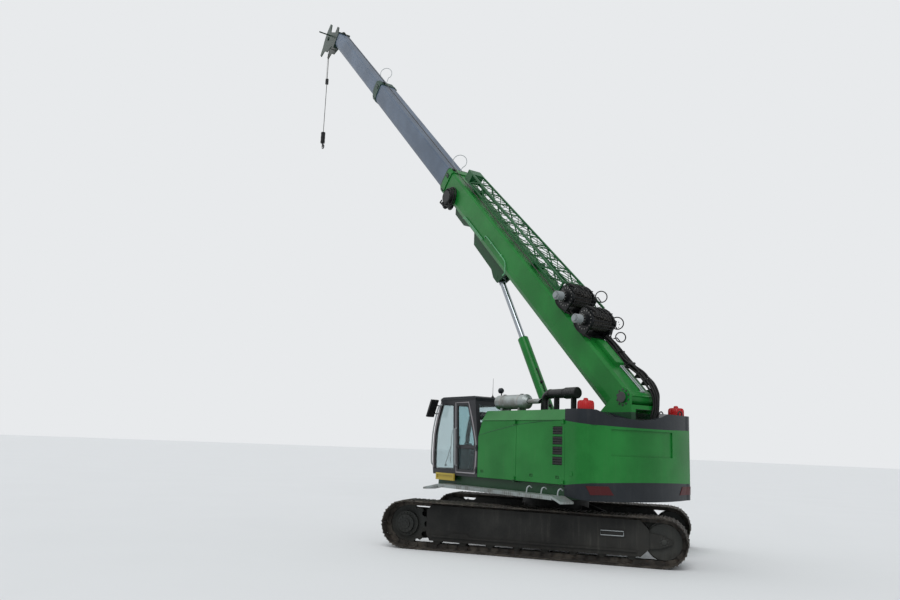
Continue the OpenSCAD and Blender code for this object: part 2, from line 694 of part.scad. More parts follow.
// outline moved g inwards
function inset(pts, g) =
    let (n = len(pts))
    [for (i = [0 : n - 1])
        let (a = left_of(unit(pts[i] - pts[(i + n - 1) % n])), b = left_of(unit(pts[(i + 1) % n] - pts[i])))
        pts[i] + g * (a + b) / (1 + a * b)];
module cab_shell() {
    color("dimgray") for (z = cab_knuckles)
        hinge_ears(z);
    color("dimgray") difference() {
        side_plate(cab_y0, half_w) polygon(cab_profile);
        side_plate(cab_y0 + cab_wall, half_w - cab_wall) polygon(inset(cab_profile, cab_wall));
        side_plate(half_w - cab_wall - 1, half_w + 1) polygon(door_outline);
        side_plate(half_w - cab_wall - 1, half_w + 1) polygon(side_window);
        side_plate(cab_y0 - 1, cab_y0 + cab_wall + 1) polygon(right_window);
        box(2100, 2520, cab_y0 + 80, half_w - 80, screen_z[0], screen_z[1]);
        box(cab_x0 - 1, 1000, cab_y0 + 100, half_w - 100, rear_glass_z[0], rear_glass_z[1]);
    }
}
// two ears and the pin of a cab door hinge
module hinge_ears(z) {
    for (end = [z[0] - 30, z[1] + 10]) {
        box(cab_hinge_x - 10, cab_hinge_x + 4, half_w - 1, hinge_y, end, end + 20);
        translate([cab_hinge_x, hinge_y, end]) cylinder(r = knuckle_r, h = 20);
    }
    translate([cab_hinge_x, hinge_y, z[0] - 25]) cylinder(r = hinge_pin_r, h = z[1] - z[0] + 50);
}
module cab_roof() {
    color("darkslategray") side_plate(cab_y0 - 20, half_w + 3) polygon([
        [915, cab_z1], [2262, cab_z1], [2240, cab_z1 + 60], [2140, cab_z1 + cab_cap_t], [960, cab_z1 + cab_cap_t],
        [915, cab_z1 + 60]]);
    // work lamp on its stalk
    color("black") translate([1120, 640, 0]) {
        translate([0, 0, cab_z1 + cab_cap_t - 1]) cylinder(r = 14, h = 135);
        translate([-45, 0, cab_z1 + cab_cap_t + 175]) rotate([0, 90, 0]) rotate_extrude($fn = 64) polygon([
            [0, 0], [35, 0], [62, 40], [62, 95], [54, 95], [54, 88], [0, 88]]);
    }
}
// a curved pane that follows the cab's outline, between two heights
module pane(y0, y1, z0, z1, x0, x1) {
    intersection() {
        side_plate(y0, y1) difference() {
            polygon(inset(cab_profile, 15));
            polygon(inset(cab_profile, 23));
        }
        box(x0, x1, y0 - 1, y1 + 1, z0, z1);
    }
}
module cab_glass() {
    color("lightblue") {
        side_plate(cab_y0 + 15, cab_y0 + 23) polygon(right_window);
        side_plate(half_w - 23, half_w - 15) polygon(side_window);
        pane(cab_y0 + 80, half_w - 80, screen_z[0], screen_z[1], 2100, 2520);
        pane(cab_y0 + 100, half_w - 100, rear_glass_z[0], rear_glass_z[1], cab_x0 - 1, 1000);
    }
}
module cab_door() {
    color("dimgray") {
        knuckles(cab_hinge_x, cab_knuckles, cab_hinge_x + 45);
        difference() {
            side_plate(half_w - 45, half_w) polygon(inset(door_outline, run_gap));
            side_plate(half_w - 46, half_w + 1) polygon(inset(door_outline, cab_door_frame));
        }
        // rail between the upper and the lower glass
        side_plate(half_w - 45, half_w) intersection() {
            polygon(inset(door_outline, cab_door_frame - 1));
            polygon([[700, lower_glass_z], [1800, lower_glass_z], [1800, upper_glass_z], [700, upper_glass_z]]);
        }
        // handle
        box(1440, 1560, half_w - 1, half_w + 22, 1968, 1998);
    }
}
module cab_door_glass() {
    color("lightblue") side_plate(half_w - 27, half_w - 19) difference() {
        polygon(inset(door_outline, cab_door_frame));
        polygon([[700, lower_glass_z], [1800, lower_glass_z], [1800, upper_glass_z], [700, upper_glass_z]]);
    }
}
cab_floor_z = cab_z0 + cab_wall;
module operator_station() {
    color("black") {
        box(1450, 1700, 900, 1140, cab_floor_z, 1801);
        box(1330, 1830, 790, 1250, 1800, 1920);
        side_plate(800, 1240) polygon([[1210, 1860], [1335, 1860], [1300, 2560], [1190, 2560]]);
        side_plate(880, 1160) polygon([[1200, 2559], [1290, 2559], [1285, 2760], [1200, 2760]]);
        // side consoles with their levers
        for (y = [680, 1290]) {
            box(1360, 1850, y - 45, y + 45, cab_floor_z, 2030);
            translate([1780, y, 2029]) cylinder(r = 14, h = 130);
            translate([1780, y, 2158]) cylinder(r = 28, h = 60);
        }
        // display on its stalk and the foot pedals
        box(2150, 2190, 700, 740, cab_floor_z, 1900);
        box(2160, 2195, 640, 860, 1899, 2070);
        for (y = [900, 1030])
            side_plate(y - 40, y + 40) polygon([[2080, cab_floor_z], [2330, cab_floor_z], [2330, 1510], [2300, 1510]]);
    }
}
module cab_step() {
    color("gold") difference() {
        box(1600, 2300, half_w, half_w + 35, 1250, 1400);
        box(1640, 2260, half_w + 12, half_w + 36, 1290, 1360);
    }
}
// mirror arms: place of the stay on the cab, its height, place of the mirror
mirror_arms = [[2250, 2880, 2328], [2330, 2700, 2416]];
module cab_mirror() {
    color("black") {
        side_plate(1560, 1750) polygon([[2240, 3000], [2290, 3015], [2475, 2635], [2430, 2620]]);
        for (m = mirror_arms) {
            rod_y(m[0], m[1], 12, half_w, 1605);
            box(m[0] - 10, m[2], 1590, 1610, m[1] - 10, m[1] + 10);
        }
    }
}

// Cross section of a boom section: half width w, height h, with folded lower corners
function section_outline(w, h) =
    let (half = [[0.32 * w, -0.5 * h], [0.74 * w, -0.43 * h], [0.95 * w, -0.27 * h], [w, -0.08 * h],
        [w, 0.5 * h - 0.14 * w], [0.86 * w, 0.5 * h]])
    concat(half, [for (i = [len(half) - 1 : -1 : 0]) [-half[i][0], half[i][1]]]);
module section(t0, t1, w, h) {
    translate([0, 0, boom_off]) along_x(t0, t1) polygon(section_outline(w, h));
}
// pads that guide the next section inside the head of the one round it
module wear_pads(t, outer_h, wall, inner_h) {
    for (y = [-150, -50, 50, 150])
        let (top = abs(y) > 100)
            box(t - 150, t, y - 30, y + 30,
                boom_off + (top ? inner_h / 2 + seat_gap : wall - 1 - outer_h / 2),
                boom_off + (top ? outer_h / 2 - wall + 1 : -inner_h / 2 - seat_gap));
}
module boom_base() {
    color("forestgreen") on_boom() {
        difference() {
            union() {
                section(-100, base_len, base_w, base_h);
                section(base_len - 230, base_len + 30, base_w + 25, base_h + 50);
                rod_y(0, 0, 150, -plate_y + run_gap, plate_y - run_gap);
            }
            section(350, base_len + 31, base_w - base_wall, base_h - 2 * base_wall);
            rod_y(0, 0, pin_r + bore_gap, -plate_y, plate_y);
            // lower rear corner
            side_plate(-base_w - 1, base_w + 1) polygon([
                [-101, -260], [420, belly - 1], [420, belly - 100], [-300, belly - 100], [-300, -260]]);
        }
        wear_pads(base_len, base_h, base_wall, mid_h);
        // lugs and pin of the rod eye, drawn out forwards
        pair_y() side_plate(lug_y, lug_y + 35) polygon([
            [eye_t - 260, belly + 14], [eye_t - 110, eye_d - 90], [eye_t + 110, eye_d - 90],
            [eye_t + 330, -820], [eye_t + 1415, -800], [eye_t + 1665, belly + 14]]);
        rod_y(eye_t, eye_d, eye_pin_r, -lug_y - 40, lug_y + 40);
        for (t = [eye_t + 615, eye_t + 1115])
            box(t - 15, t + 15, -lug_y - 1, lug_y + 1, -790, belly + 14);
        // blocks under the head
        side_plate(-90, 90) polygon([
            [base_len - 1620, belly + 5], [base_len - 1490, -720], [base_len - 920, -720], [base_len - 770, belly + 5]]);
        box(base_len - 410, base_len - 230, -120, 120, belly - 110, belly + 5);
        // raised box on the back
        side_plate(-110, 110) polygon([[750, back - 15], [800, back + 90], [1500, back + 90], [1550, back - 15]]);
    }
}
module boom_mid() {
    color("slategray") on_boom() difference() {
        union() {
            section(mid_head - mid_len, mid_head, mid_w, mid_h);
            section(mid_head - 250, mid_head + 20, mid_w + 22, mid_h + 44);
        }
        section(mid_head - mid_len - 1, mid_head + 21, mid_w - mid_wall, mid_h - 2 * mid_wall);
    }
    color("slategray") on_boom() {
        wear_pads(mid_head, mid_h, mid_wall, tip_h);
        box(mid_head - 250, mid_head, -mid_w - 80, -mid_w - 20, boom_off + 120, boom_off + 300);
    }
}
module boom_tip() {
    color("slategray") on_boom() difference() {
        section(tip_head - tip_len, tip_head, tip_w, tip_h);
        section(tip_head - tip_len - 1, tip_head - 20, tip_w - tip_wall, tip_h - 2 * tip_wall);
    }
}
jib_bore_t = tip_head + 380;
jib_bore_d = -250;
jib_bore_r = 25;
head_plate_y = 130;
module boom_head() {
    color("darkslategray") on_boom() {
        box(tip_head, tip_head + 40, -tip_w - 20, tip_w + 20, boom_off - tip_h / 2 - 60, boom_off + tip_h / 2 + 40);
        difference() {
            pair_y() side_plate(head_plate_y, head_plate_y + 30) polygon([
                [tip_head + 39, -500], [tip_head + 380, -600], [tip_head + 620, -930], [tip_head + 880, -1000],
                [tip_head + 990, -1270], [tip_head + 1110, -1260], [tip_head + 1150, -960],
                [tip_head + 1240, -670], [tip_head + 1270, -400], [tip_head + 1230, -20], [tip_head + 1080, 0],
                [tip_head + 940, -240], [tip_head + 600, -120], [tip_head + 39, 40]]);
            rod_y(jib_bore_t, jib_bore_d, jib_bore_r, -head_plate_y - 31, head_plate_y + 31);
        }
        rod_y(tip_head + sheave_t, sheave_d, 40, -head_plate_y - 40, head_plate_y + 40);
        // bar on the left
        rod_y(tip_head + 910, -360, 24, head_plate_y + 29, 600);
    }
}
module head_sheaves() {
    color("gray") translate([sheave_x, 0, sheave_z]) difference() {
        union() {
            for (y = [-70, 0, 70])
                translate([0, y, 0]) rotate([90, 0, 0]) rotate_extrude($fn = 96) polygon([
                    [60, -29], [sheave_r + 25, -29], [sheave_r + 25, -24], [sheave_r, -14],
                    [sheave_r, 14], [sheave_r + 25, 24], [sheave_r + 25, 29], [60, 29]]);
            rod_y(0, 0, 70, -120, 120);
        }
        rod_y(0, 0, 40 + bore_gap, -200, 200);
    }
}
drum_r = 165;
flange_r = 225;
winch_bar_t = 205;
module winch_frame() {
    color("darkslategray") on_boom() for (t = winch_places) {
        box(t - 220, t + 220, -330, 330, back, back + 20);
        pair_y() side_plate(300, 330) polygon([
            [t - 220, back + 19], [t + 220, back + 19], [t + 230, winch_d + 130], [t + 180, winch_d + 190],
            [t - 180, winch_d + 190], [t - 230, winch_d + 130]]);
        for (e = [-1, 1])
            rod_y(t + e * winch_bar_t, winch_d + 150, 14, -301, 301);
        rod_y(t, winch_d, 40, -345, 345);
        // hydraulic motor
        rod_y(t, winch_d, 120, 329, 420);
        rod_y(t, winch_d, 95, 419, 600);
        rod_y(t, winch_d, 60, 599, 640);
    }
}
module drum(t) {
    on_boom() difference() {
        union() {
            rod_y(t, winch_d, drum_r, -290, 290);
            for (y = [-1, 1])
                rod_y(t, winch_d, flange_r, y * 278 - 10, y * 278 + 10);
        }
        rod_y(t, winch_d, 40 + bore_gap, -300, 300);
    }
}
module main_drum() {
    color("black") drum(winch_places[0]);
}
module auxiliary_drum() {
    color("black") drum(winch_places[1]);
}
// Stowed lattice jib: chords as [place along the boom, across it] at the rear and at the head
jib_z0 = back + 125;
jib_z1 = back + 355;
jib_head_t = base_len - 910;
jib_left = [[3150, 150], [jib_head_t, 150]];
jib_right = [[2340, -480], [jib_head_t, -165]];
left_bays = 10;
right_bays = 12;
chord_w = 40;
lace_w = 24;
// square bar between two points
module bar(p, q, w) {
    v = q - p;
    translate(p) rotate([0, acos(v[2] / norm(v)), atan2(v[1], v[0])])
        translate([-w / 2, -w / 2, 0]) cube([w, w, norm(v)]);
}
function jib_point(side, share, z) =
    [side[0][0] + share * (side[1][0] - side[0][0]), side[0][1] + share * (side[1][1] - side[0][1]), z];
module jib_side(side, bays) {
    for (z = [jib_z0, jib_z1])
        bar(jib_point(side, 0, z), jib_point(side, 1, z), chord_w);
    for (share = [0, 1])
        bar(jib_point(side, share, jib_z0), jib_point(side, share, jib_z1), chord_w);
    for (i = [0 : bays - 1])
        bar(jib_point(side, (i + 0.04) / bays, i % 2 == 0 ? jib_z0 : jib_z1),
            jib_point(side, (i + 0.96) / bays, i % 2 == 0 ? jib_z1 : jib_z0), lace_w);
}
module stowed_jib() {
    color("forestgreen") on_boom() {
        jib_side(jib_left, left_bays);
        jib_side(jib_right, right_bays);
        // lacing across the top and the bottom
        for (i = [0 : left_bays]) {
            t = jib_left[0][0] + 25 + i * (jib_left[1][0] - jib_left[0][0] - 50) / left_bays;
            share = (t - jib_right[0][0]) / (jib_right[1][0] - jib_right[0][0]);
            for (z = [jib_z0, jib_z1])
                bar([t, jib_left[0][1], z], jib_point(jib_right, share, z), lace_w);
        }
        // head block, and the rests on the boom's back
        box(jib_head_t - 20, jib_head_t + 240, -190, 175, jib_z0 - 20, jib_z1 + 20);
        for (t = [4300, jib_head_t - 360])
            box(t - 40, t + 40, -170, 170, back, jib_z0 - 19);
    }
}
module luffing_rod() {
    color("gainsboro") translate([eye_x, 0, eye_z]) rotate([0, 90 - cylinder_el, 0]) difference() {
        union() {
            rotate([90, 0, 0]) cylinder(r = 120, h = 2 * (lug_y - run_gap), center = true);
            translate([0, 0, -cylinder_len + rod_end]) cylinder(r = rod_r, h = cylinder_len - rod_end - 90);
            translate([0, 0, -180]) cylinder(r = 85, h = 120);
        }
        rotate([90, 0, 0]) cylinder(r = eye_pin_r + bore_gap, h = 400, center = true);
    }
}
module luffing_barrel() {
    color("forestgreen") translate([foot_x, 0, foot_z]) rotate([0, 90 - cylinder_el, 0]) {
        difference() {
            cylinder(r = barrel_r, h = barrel_len);
            translate([0, 0, 200]) cylinder(r = barrel_r - 20, h = barrel_len - 320);
            translate([0, 0, barrel_len - 200]) cylinder(r = rod_r + seat_gap, h = 300);
        }
        rotate([90, 0, 0]) cylinder(r = 150, h = 280, center = true);
    }
}
module hoist_rope() {
    color("black") translate([rope_x, 0, hook_z]) cylinder(r = rope_r, h = rope_len);
}
module limit_weight() {
    color("black") translate([rope_x, 0, sheave_z - 1750]) difference() {
        cylinder(r = 60, h = 200);
        translate([0, 0, -1]) cylinder(r = rope_r + seat_gap, h = 202);
    }
}
module hook() {
    color("black") {
        translate([rope_x, 0, hook_z - 420]) cylinder(r = 80, h = 420 - seat_gap);
        translate([rope_x, 0, hook_z - 520]) cylinder(r = 25, h = 101);
        translate([rope_x - 60, 0, hook_z - 580]) rotate([90, 0, 0]) rotate_extrude(angle = 300)
            translate([70, 0]) circle(r = 22);
    }
}

carbody();
slew_ring();
side_frame(1);  // left_side_frame
track(1);  // left_track
wheels(1);  // left_wheels
side_frame(-1);  // right_side_frame
track(-1);  // right_track
wheels(-1);  // right_wheels
turntable_frame();
counterweight();
tail_bands();
marker_covers();
left_housing();
left_front_door();
left_rear_door();
engine_block();
muffler();
air_cleaner();
walkway();
right_housing();
right_front_door();
right_rear_door();
tank();
cab_shell();
cab_roof();
cab_glass();
cab_door();
cab_door_glass();
operator_station();
cab_step();
cab_mirror();
luffing_barrel();
luffing_rod();
boom_base();
boom_mid();
boom_tip();
boom_head();
head_sheaves();
winch_frame();
main_drum();
auxiliary_drum();
stowed_jib();
hoist_rope();
limit_weight();
hook();
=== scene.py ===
"""Telescopic boom crane on tracks: finishes, fittings, studio floor, light and camera, in metres."""
import logging
import math
from dataclasses import dataclass, field
from enum import Enum

import bmesh
import bpy
import numpy as np
from mathutils import Matrix


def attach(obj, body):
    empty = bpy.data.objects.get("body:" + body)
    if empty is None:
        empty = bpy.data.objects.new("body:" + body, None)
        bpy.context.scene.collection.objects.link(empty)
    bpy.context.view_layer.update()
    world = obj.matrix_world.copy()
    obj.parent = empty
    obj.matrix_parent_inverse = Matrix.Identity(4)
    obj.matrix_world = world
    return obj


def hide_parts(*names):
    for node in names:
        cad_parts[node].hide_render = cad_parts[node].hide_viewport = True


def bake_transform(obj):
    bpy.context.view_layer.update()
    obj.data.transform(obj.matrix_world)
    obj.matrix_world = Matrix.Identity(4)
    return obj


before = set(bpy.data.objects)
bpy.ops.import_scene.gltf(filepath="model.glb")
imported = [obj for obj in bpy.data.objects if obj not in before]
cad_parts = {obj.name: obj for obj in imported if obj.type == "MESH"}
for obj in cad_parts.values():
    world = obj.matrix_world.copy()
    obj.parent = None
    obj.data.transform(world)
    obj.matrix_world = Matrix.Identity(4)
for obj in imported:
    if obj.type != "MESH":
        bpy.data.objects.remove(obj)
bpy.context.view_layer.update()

LOG = logging.getLogger("crane")
Colour = tuple[float, float, float]
Point = tuple[float, float, float]
Array = np.ndarray


def tone(red: float, green: float, blue: float) -> Colour:
    """Turns a colour of 0 to 255 as seen on a screen into the linear colour that a shader takes."""
    parts = np.array([red, green, blue]) / 255
    return tuple(np.where(parts <= 0.04045, parts / 12.92, ((parts + 0.055) / 1.055) ** 2.4).tolist())


def tinted(colour: Colour, times: float, plus: float = 0.0) -> Colour:
    """A colour made lighter or darker by a factor and a small step, and held at white."""
    return tuple(min(1.0, v * times + plus) for v in colour)


# ---- places ----
ORIGIN, AHEAD, ACROSS, UPRIGHT = (0.0, 0.0, 0.0), (1.0, 0.0, 0.0), (0.0, 1.0, 0.0), (0.0, 0.0, 1.0)


@dataclass(frozen=True)
class Axes:
    """A turned frame of one sub-assembly: its origin and its three directions in the crane's own frame."""

    origin: Point = ORIGIN
    x: Point = AHEAD
    y: Point = ACROSS
    z: Point = UPRIGHT

    def out(self, points: Array) -> Array:
        """Carries points of this frame into the crane's frame: origin plus each share of a direction."""
        return np.asarray(points, float) @ np.array([self.x, self.y, self.z]) + np.array(self.origin)


def axes_at(origin: Point, along: float) -> Axes:
    """Makes a frame whose x axis rises by the angle `along`, in radians, in the crane's upright middle plane.

    Args:
        origin: where the frame stands.
        along: the angle of its x axis above the ground.
    Returns:
        the frame, with its y axis to the left.
    """
    c, s = math.cos(along), math.sin(along)
    return Axes(origin, (c, 0.0, s), ACROSS, (-s, 0.0, c))


BOOM_RISE = math.radians(44.1)
SLEW_REST = math.radians(38.3)
UPPER = Axes()
BOOM = axes_at((-2.25, 0.0, 3.02), BOOM_RISE)
UNDER = Axes(
    x=(math.cos(SLEW_REST), math.sin(SLEW_REST), 0.0), y=(-math.sin(SLEW_REST), math.cos(SLEW_REST), 0.0))
ROD_EYE = tuple(BOOM.out([5.235, 0.0, -0.83]).tolist())
CYLINDER_FOOT = (-0.39, 0.0, 1.7)
CYLINDER = axes_at(CYLINDER_FOOT, math.atan2(ROD_EYE[2] - CYLINDER_FOOT[2], ROD_EYE[0] - CYLINDER_FOOT[0]))


# ---- surfaces ----
@dataclass
class Surface:
    """Points with the faces over them; faces are rows of point numbers, in lists by their corner count."""

    points: Array
    faces: list[Array]

    def placed(self, axes: Axes) -> "Surface":
        """The same surface carried out of a turned frame."""
        return Surface(axes.out(self.points), self.faces)

    def mirrored(self) -> "Surface":
        """The same surface with left and right exchanged."""
        return Surface(self.points * np.array([1.0, -1.0, 1.0]), self.faces)

    def copied(self, points: Array) -> "Surface":
        """Copies of this surface at given places: each copy's face rows are moved on past the copies before it.

        Args:
            points: (k, n, 3) places of its n points in each of the k copies.
        Returns:
            the k copies as one surface.
        """
        firsts = np.arange(len(points))[:, None, None] * len(self.points)
        return Surface(points.reshape(-1, 3), [(f[None] + firsts).reshape(-1, f.shape[1]) for f in self.faces])

    def repeated(self, steps: Array) -> "Surface":
        """One copy for each of the (k, 3) steps, moved by it."""
        return self.copied(self.points[None] + np.asarray(steps, float).reshape(-1, 1, 3))


def joined(*parts: Surface) -> Surface:
    """Puts surfaces into one, with their face rows moved on past the points before them."""
    firsts = np.cumsum([0] + [len(p.points) for p in parts[:-1]])
    return Surface(np.concatenate([p.points for p in parts]), [f + n for p, n in zip(parts, firsts) for f in p.faces])


def both_sides(part: Surface) -> Surface:
    """A surface and its mirror image across the middle plane."""
    return joined(part, part.mirrored())


def grid(points: Array) -> Surface:
    """Joins a grid of rings into a closed skin.

    Args:
        points: (rings, sides, 3); each ring closes on itself.
    Returns:
        the surface, where quad (i, j) joins ring i to i+1 and side j to j+1, and a face closes each end ring.
    """
    rings, sides = points.shape[:2]
    first, j = np.arange(rings - 1)[:, None] * sides, np.arange(sides)[None, :]
    after, nj = first + sides, (j + 1) % sides
    quads = np.stack([first + j, after + j, after + nj, first + nj], -1).reshape(-1, 4)
    return Surface(points.reshape(-1, 3), [quads, j, (rings - 1) * sides + j])


def smooth_path(knots: list[Point] | Array, count: int) -> Array:
    """A smooth curve through knots: between two knots, the cubic whose end slopes are half the step between
    the neighbours on both sides.

    Args:
        knots: the points to pass through.
        count: points along the whole curve.
    Returns:
        (count, 3) points.
    """
    k = np.asarray(knots, float)
    k = np.concatenate([2 * k[:1] - k[1:2], k, 2 * k[-1:] - k[-2:-1]])
    at = np.linspace(0, len(k) - 3 - 1e-9, count)
    i = at.astype(int)
    u = (at - i)[:, None]
    a, b, c, d = k[i], k[i + 1], k[i + 2], k[i + 3]
    return 0.5 * (2 * b + (c - a) * u + (2 * a - 5 * b + 4 * c - d) * u**2 + (3 * b - a - 3 * c + d) * u**3)


def tube(path: list[Point] | Array, radius: float | Array, sides: int = 10) -> Surface:
    """A round bar along a path: at each point a circle across the path's direction, with its first radius square
    to that direction and to one fixed direction that the path never takes.

    Args:
        path: (n, 3) points.
        radius: one for all, or one for each point.
        sides: points round a ring.
    Returns:
        the closed bar.
    """
    p = np.asarray(path, float)
    along = np.gradient(p, axis=0)
    along /= np.linalg.norm(along, axis=1, keepdims=True)
    fixed = np.eye(3)[int(np.argmin(np.abs(along).max(axis=0)))]
    across = np.cross(along, fixed)
    across /= np.linalg.norm(across, axis=1, keepdims=True)
    third = np.cross(along, across)
    turn = np.linspace(0, 2 * math.pi, sides, endpoint=False)[None, :, None]
    r = np.broadcast_to(np.asarray(radius, float), (len(p),))[:, None, None]
    return grid(p[:, None] + r * (np.cos(turn) * across[:, None] + np.sin(turn) * third[:, None]))


def circle_round(axis: Point, count: int) -> tuple[Array, Array]:
    """A circle of radius one round an axis: cosine times one direction square to it plus sine times the other.

    Args:
        axis: the direction to go round.
        count: points on the circle.
    Returns:
        the axis at length one, and (count, 3) points.
    """
    n = np.array(axis, float) / np.linalg.norm(axis)
    a = np.cross(n, np.eye(3)[int(np.argmin(np.abs(n)))])
    a /= np.linalg.norm(a)
    turn = np.linspace(0, 2 * math.pi, count, endpoint=False)[:, None]
    return n, np.cos(turn) * a + np.sin(turn) * np.cross(n, a)


def turned(profile: list[tuple[float, float]] | Array, centre: Point, axis: Point, sides: int = 32) -> Surface:
    """A turned form: the profile of distances along and radii is carried round an axis.

    Args:
        profile: (n, 2) rows of place along the axis and radius.
        centre: the axis's zero.
        axis: its direction.
        sides: points round a ring.
    Returns:
        the closed form; a radius of nothing at an end gives a pole.
    """
    rows = np.asarray(profile, float)[:, :, None, None]
    n, ring = circle_round(axis, sides)
    return grid(np.array(centre) + rows[:, 0] * n + rows[:, 1] * ring)


def block(low: Point, high: Point, rounding: float, steps: int = 2) -> Surface:
    """A box with rounded edges: the inner box's corner in each direction, plus that direction times the rounding.

    Args:
        low: lowest corner.
        high: highest corner.
        rounding: radius of the edges.
        steps: faces across a quarter turn.
    Returns:
        the closed box.
    """
    lo, hi = np.minimum(low, high), np.maximum(low, high)
    centre, half = (lo + hi) / 2, (hi - lo) / 2 - rounding
    quarter = np.linspace(0, math.pi / 2, steps + 1)
    round_angle = (quarter[None] + np.arange(4)[:, None] * math.pi / 2).ravel()
    corner_x = np.repeat([1, -1, -1, 1], steps + 1)
    corner_y = np.repeat([1, 1, -1, -1], steps + 1)
    rise = np.concatenate([quarter - math.pi / 2, quarter])[:, None]
    corner_z = np.repeat([-1, 1], steps + 1)[:, None]
    x = corner_x * half[0] + rounding * np.cos(rise) * np.cos(round_angle)
    y = corner_y * half[1] + rounding * np.cos(rise) * np.sin(round_angle)
    z = corner_z * half[2] + rounding * np.sin(rise) + 0 * x
    return grid(centre + np.stack([x, y, z], -1))


def on_side(outline: list[tuple[float, float]] | Array, y: float) -> Array:
    """Points of a side view, given as rows of x and z, in the plane at y."""
    xz = np.asarray(outline, float)
    return np.column_stack([xz[:, 0], np.full(len(xz), y), xz[:, 1]])


def prism(outline: list[tuple[float, float]] | Array, y0: float, y1: float) -> Surface:
    """A side view of x and z carried straight across from y0 to y1, closed at both ends."""
    return grid(np.stack([on_side(outline, y0), on_side(outline, y1)]))


def hoop(half: float, inner: float, outer: float, centre: Point, axis: Point) -> Surface:
    """A flat hoop with square edges, turned round an axis.

    Args:
        half: half its width.
        inner: its inner radius, which lies just inside what it clasps.
        outer: its outer radius.
        centre: its middle.
        axis: the direction that it goes round.
    Returns:
        the closed hoop.
    """
    return turned([(-half, inner), (-half, outer), (half, outer), (half, inner)], centre, axis)


def ring_of(centre: Point, axis: Point, radius: float, count: int) -> Array:
    """Places spread evenly round a circle.

    Args:
        centre: middle of the circle.
        axis: direction square to it.
        radius: of the circle.
        count: how many places.
    Returns:
        (count, 3) points.
    """
    return np.array(centre) + radius * circle_round(axis, count)[1]


def bolt_heads(places: Array, axis: Point, size: float) -> Surface:
    """Six-sided bolt heads on their washers: two turned forms whose measures are shares of the bolt's radius.

    Args:
        places: (n, 3) feet of the bolts.
        axis: the direction in which they stand.
        size: about the head's radius.
    Returns:
        all the bolts as one surface.
    """
    s = size
    washer = turned([(0, 0), (0, 1.7 * s), (0.25 * s, 1.7 * s), (0.25 * s, 0)], ORIGIN, axis, 12)
    head = turned([(0.2 * s, 0), (0.2 * s, 1.15 * s), (0.95 * s, 1.15 * s), (1.1 * s, 0.95 * s), (1.1 * s, 0)],
                  ORIGIN, axis, 6)
    return joined(washer, head).repeated(places)


# ---- shader nodes ----
class Wire:
    """A socket that sums can be written on; each sum adds its Math node."""

    def __init__(self, graph: "Graph", socket: bpy.types.NodeSocket) -> None:
        """Keeps the graph and the socket."""
        self.graph = graph
        self.socket = socket

    def __add__(self, other: "Wire | float") -> "Wire":
        """Sum."""
        return self.graph.maths("ADD", self, other)

    __radd__ = __add__

    def __sub__(self, other: "Wire | float") -> "Wire":
        """Difference."""
        return self.graph.maths("SUBTRACT", self, other)

    def __rsub__(self, other: float) -> "Wire":
        """Difference from a number."""
        return self.graph.maths("SUBTRACT", other, self)

    def __mul__(self, other: "Wire | float") -> "Wire":
        """Product."""
        return self.graph.maths("MULTIPLY", self, other)

    __rmul__ = __mul__

    def __abs__(self) -> "Wire":
        """Size without its sign."""
        return self.graph.maths("ABSOLUTE", self)

    def most(self, other: "Wire | float") -> "Wire":
        """The greater of the two."""
        return self.graph.maths("MAXIMUM", self, other)

    def least(self, other: "Wire | float") -> "Wire":
        """The lesser of the two."""
        return self.graph.maths("MINIMUM", self, other)


